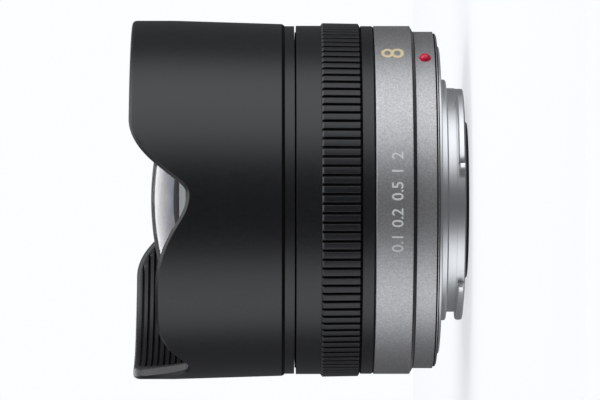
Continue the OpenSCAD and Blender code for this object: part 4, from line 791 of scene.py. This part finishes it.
hood_r = np.concatenate([end_r, wall_r, rim_r, land_r, lip_r, rib_r, seat_r])
hood_z = np.concatenate([end_z, wall_z, rim_z, land_z, lip_z, rib_z, seat_z])
hood_black = finish(
    "hood_black", ((0.0065, 0.007, 0.0085), (0.0085, 0.009, 0.0105)), (0.33, 0.39), 0.45, 0.004,
    shine=0.6, rubbed=(0.013, 0.013, 0.014))
hood_grid = np.stack([hood_r * np.cos(turn), hood_r * np.sin(turn), hood_z], -1)
hood = skin("petal_hood", hood_grid, crisp=30)
fit_out(hood, hood_black, "barrel", "black_plastic", "hood_barrel")
# Groove floors of the inner ribs and the rounded rear end painted near-black: painted shade.
part_finish(hood, painted_shade_black, lambda radius, height, outward: (
    ((radius > LIP_IN + 0.2) & (radius < HOOD_IN + 0.02) & (outward < -0.9))
    | ((height < SHADE_Z) & (outward > 0.1))))


# Room: a pale table, a white surround that camera and glass see, and a studio that lights the lens: two
# tall soft side lights, a dim wall, a pale ceiling and ground, a lamp overhead, and a card behind that
# only reflections show. The camera stands level, side-on to the lens.
FLOOR_Z, FLOOR_R, FLOOR_ROWS, FLOOR_SIDES = -4.81, 320.0, 12, 96
VIEW_DEG, VIEW_LIFT_DEG, VIEW_FAR, VIEW_Z = 34.2, 0.34, 0.848, 0.02338
HIGH_DEG, HIGH_LEVEL, HIGH_HALF_DEG = VIEW_DEG + 64.5, 1.65, 46
LOW_DEG, LOW_LEVEL, LOW_HALF_DEG = VIEW_DEG - 65, 1.4, 37
WALL_BACK, WALL_FRONT, CEILING_LEVEL, GROUND_LEVEL = 0.13, 0.05, 0.6, 0.35
CARD_LOW, CARD_HIGH, CARD_LOW_LEVEL, CARD_HIGH_LEVEL = 0.35, 0.75, 2.4, 1.6
LAMP_DEG, LAMP_LIFT_DEG, LAMP_FAR, LAMP_WIDE, LAMP_LEVEL = VIEW_DEG + 77, 66.0, 0.8, 1.0, 1.3
LENS_MM, SENSOR_MM = 300.2, 36.0
floor_turn = np.linspace(0, TAU, FLOOR_SIDES, endpoint=False)
floor_r = np.linspace(0, FLOOR_R, FLOOR_ROWS)[::-1]
floor = skin("pale_table", np.stack([
    np.outer(floor_r, np.cos(floor_turn)), np.outer(floor_r, np.sin(floor_turn)),
    np.full((FLOOR_ROWS, FLOOR_SIDES), FLOOR_Z)], -1), join_rows=False)
table_top = bpy.data.materials.new("table_top")
table_top.use_nodes = True
nodes, links = table_top.node_tree.nodes, table_top.node_tree.links
nodes.remove(nodes["Principled BSDF"])
path = nodes.new("ShaderNodeLightPath")
dull, glow = nodes.new("ShaderNodeBsdfDiffuse"), nodes.new("ShaderNodeEmission")
dull.inputs["Color"].default_value = (0.4, 0.4, 0.4, 1)
glow.inputs["Color"].default_value = (0.95, 0.97, 1, 1)
glow.inputs["Strength"].default_value = 0.68
clear = nodes.new("ShaderNodeBsdfTransparent")
seen, through = nodes.new("ShaderNodeMath"), nodes.new("ShaderNodeMath")
seen.operation = through.operation = "MAXIMUM"
both, shown, choose = (nodes.new("ShaderNodeAddShader"), nodes.new("ShaderNodeMixShader"),
                       nodes.new("ShaderNodeMixShader"))
links.new(path.outputs["Is Camera Ray"], seen.inputs[0])
links.new(path.outputs["Is Transmission Ray"], seen.inputs[1])
links.new(path.outputs["Is Glossy Ray"], through.inputs[0])
links.new(path.outputs["Is Shadow Ray"], through.inputs[1])
links.new(dull.outputs[0], both.inputs[0])
links.new(glow.outputs[0], both.inputs[1])
links.new(seen.outputs["Value"], shown.inputs["Fac"])
links.new(dull.outputs[0], shown.inputs[1])
links.new(both.outputs[0], shown.inputs[2])
links.new(through.outputs["Value"], choose.inputs["Fac"])
links.new(shown.outputs[0], choose.inputs[1])
links.new(clear.outputs[0], choose.inputs[2])
links.new(choose.outputs[0], nodes["Material Output"].inputs["Surface"])
floor.data.materials.append(table_top)

scene = bpy.context.scene
world = bpy.data.worlds.new("studio")
scene.world = world
world.use_nodes = True
nodes, links = world.node_tree.nodes, world.node_tree.links


def span(value, low, high, dark, light):
    """Node that runs softly from dark to light while the value goes from low to high. Where the value is
    up, it is the sine of the angle above level."""
    node = nodes.new("ShaderNodeMapRange")
    node.interpolation_type = "SMOOTHSTEP"
    for socket, number in zip(("From Min", "From Max", "To Min", "To Max"), (low, high, dark, light)):
        node.inputs[socket].default_value = number
    links.new(value, node.inputs["Value"])
    return node.outputs["Result"]


def facing(direction, turn_deg):
    """Node that gives the cosine between a direction and the level direction at turn_deg round the axis."""
    node = nodes.new("ShaderNodeVectorMath")
    node.operation = "DOT_PRODUCT"
    node.inputs[1].default_value = (np.cos(np.radians(turn_deg)), np.sin(np.radians(turn_deg)), 0)
    links.new(direction, node.inputs[0])
    return node.outputs["Value"]


def paired(operation, one, other):
    """Node that joins two levels: MAXIMUM gives the larger one, MULTIPLY dims one by the other."""
    node = nodes.new("ShaderNodeMath")
    node.operation = operation
    links.new(one, node.inputs[0])
    links.new(other, node.inputs[1])
    return node.outputs["Value"]


path, place = nodes.new("ShaderNodeLightPath"), nodes.new("ShaderNodeTexCoord")
studio, white = nodes["Background"], nodes.new("ShaderNodeBackground")
studio.inputs["Color"].default_value = (0.94, 0.965, 1, 1)
white.inputs["Color"].default_value = (0.97, 0.985, 1, 1)
height, flat, level = (nodes.new("ShaderNodeSeparateXYZ"), nodes.new("ShaderNodeVectorMath"),
                       nodes.new("ShaderNodeVectorMath"))
flat.operation, level.operation = "MULTIPLY", "NORMALIZE"
flat.inputs[1].default_value = (1, 1, 0)
links.new(place.outputs["Generated"], height.inputs["Vector"])
links.new(place.outputs["Generated"], flat.inputs[0])
links.new(flat.outputs["Vector"], level.inputs[0])
up, round_axis = height.outputs["Z"], level.outputs["Vector"]
sides_on = paired("MULTIPLY", span(up, -0.75, -0.45, 0, 1), span(up, 0.6, 0.9, 1, 0))
high_side = span(facing(round_axis, HIGH_DEG), np.cos(np.radians(HIGH_HALF_DEG)), 1, 0, HIGH_LEVEL)
low_side = span(facing(round_axis, LOW_DEG), np.cos(np.radians(LOW_HALF_DEG)), 1, 0, LOW_LEVEL)
wall = span(facing(place.outputs["Generated"], VIEW_DEG), -1, 1, WALL_BACK, WALL_FRONT)
ceiling = span(up, 0.8, 0.95, 0, CEILING_LEVEL)
card = paired("MULTIPLY", span(facing(round_axis, VIEW_DEG + 180), 0.93, 0.995, 0, 1), paired(
    "MULTIPLY", span(up, CARD_LOW - 0.02, CARD_LOW + 0.02, 0, 1), paired(
        "MULTIPLY", span(up, CARD_HIGH - 0.01, CARD_HIGH + 0.005, 1, 0),
        span(up, CARD_LOW, CARD_HIGH, CARD_LOW_LEVEL, CARD_HIGH_LEVEL))))
ground = paired("MULTIPLY", span(facing(round_axis, VIEW_DEG), 0.3, -0.3, 0, GROUND_LEVEL), paired(
    "MULTIPLY", span(up, -0.15, -0.3, 0, 1), span(up, -0.7, -0.55, 0, 1)))
around = paired("MAXIMUM", paired("MULTIPLY", paired("MAXIMUM", high_side, low_side), sides_on), wall)
mirrored = paired("MULTIPLY", card, path.outputs["Is Glossy Ray"])
beyond = paired("MAXIMUM", paired("MAXIMUM", ceiling, mirrored), ground)
links.new(paired("MAXIMUM", around, beyond), studio.inputs["Strength"])
seen_mix = nodes.new("ShaderNodeMixShader")
seen_rays = paired("MAXIMUM", path.outputs["Is Camera Ray"], path.outputs["Is Transmission Ray"])
links.new(seen_rays, seen_mix.inputs["Fac"])
links.new(studio.outputs[0], seen_mix.inputs[1])
links.new(white.outputs[0], seen_mix.inputs[2])
links.new(seen_mix.outputs[0], nodes["World Output"].inputs["Surface"])


def aimed(place, at, up):
    """Matrix that puts something at place with its local -Z towards at and its local Y as near up as may
    be."""
    back = (place - at).normalized()
    side = up.cross(back).normalized()
    over = back.cross(side)
    return Matrix(((side.x, over.x, back.x, place.x), (side.y, over.y, back.y, place.y),
                   (side.z, over.z, back.z, place.z), (0, 0, 0, 1)))


def heading(turn_deg, lift_deg):
    """Unit vector at turn_deg round the optical axis and lift_deg above level."""
    turn_rad, lift_rad = np.radians(turn_deg), np.radians(lift_deg)
    return Vector((
        np.cos(turn_rad) * np.cos(lift_rad), np.sin(turn_rad) * np.cos(lift_rad), np.sin(lift_rad)))


aim = Vector((0, 0, VIEW_Z))
lamp = bpy.data.lights.new("lamp_overhead", "AREA")
lamp.shape = "RECTANGLE"
lamp.size, lamp.size_y = LAMP_WIDE, LAMP_WIDE
lamp.energy = LAMP_LEVEL * np.pi * LAMP_WIDE * LAMP_WIDE
overhead = bpy.data.objects.new("lamp_overhead", lamp)
overhead.matrix_world = aimed(
    aim + heading(LAMP_DEG, LAMP_LIFT_DEG) * LAMP_FAR, aim, Vector((0, 0, 1)))
scene.collection.objects.link(overhead)

toward = heading(VIEW_DEG, VIEW_LIFT_DEG)
camera = bpy.data.cameras.new("side_view")
camera.lens, camera.sensor_width = LENS_MM, SENSOR_MM
camera.clip_start, camera.clip_end = 0.01, 20.0
viewer = bpy.data.objects.new("side_view", camera)
image_up = Vector((-toward.y, toward.x, 0))
viewer.matrix_world = aimed(aim + toward * VIEW_FAR, aim, image_up)
scene.collection.objects.link(viewer)
scene.camera = viewer
scene.view_settings.view_transform = "Standard"
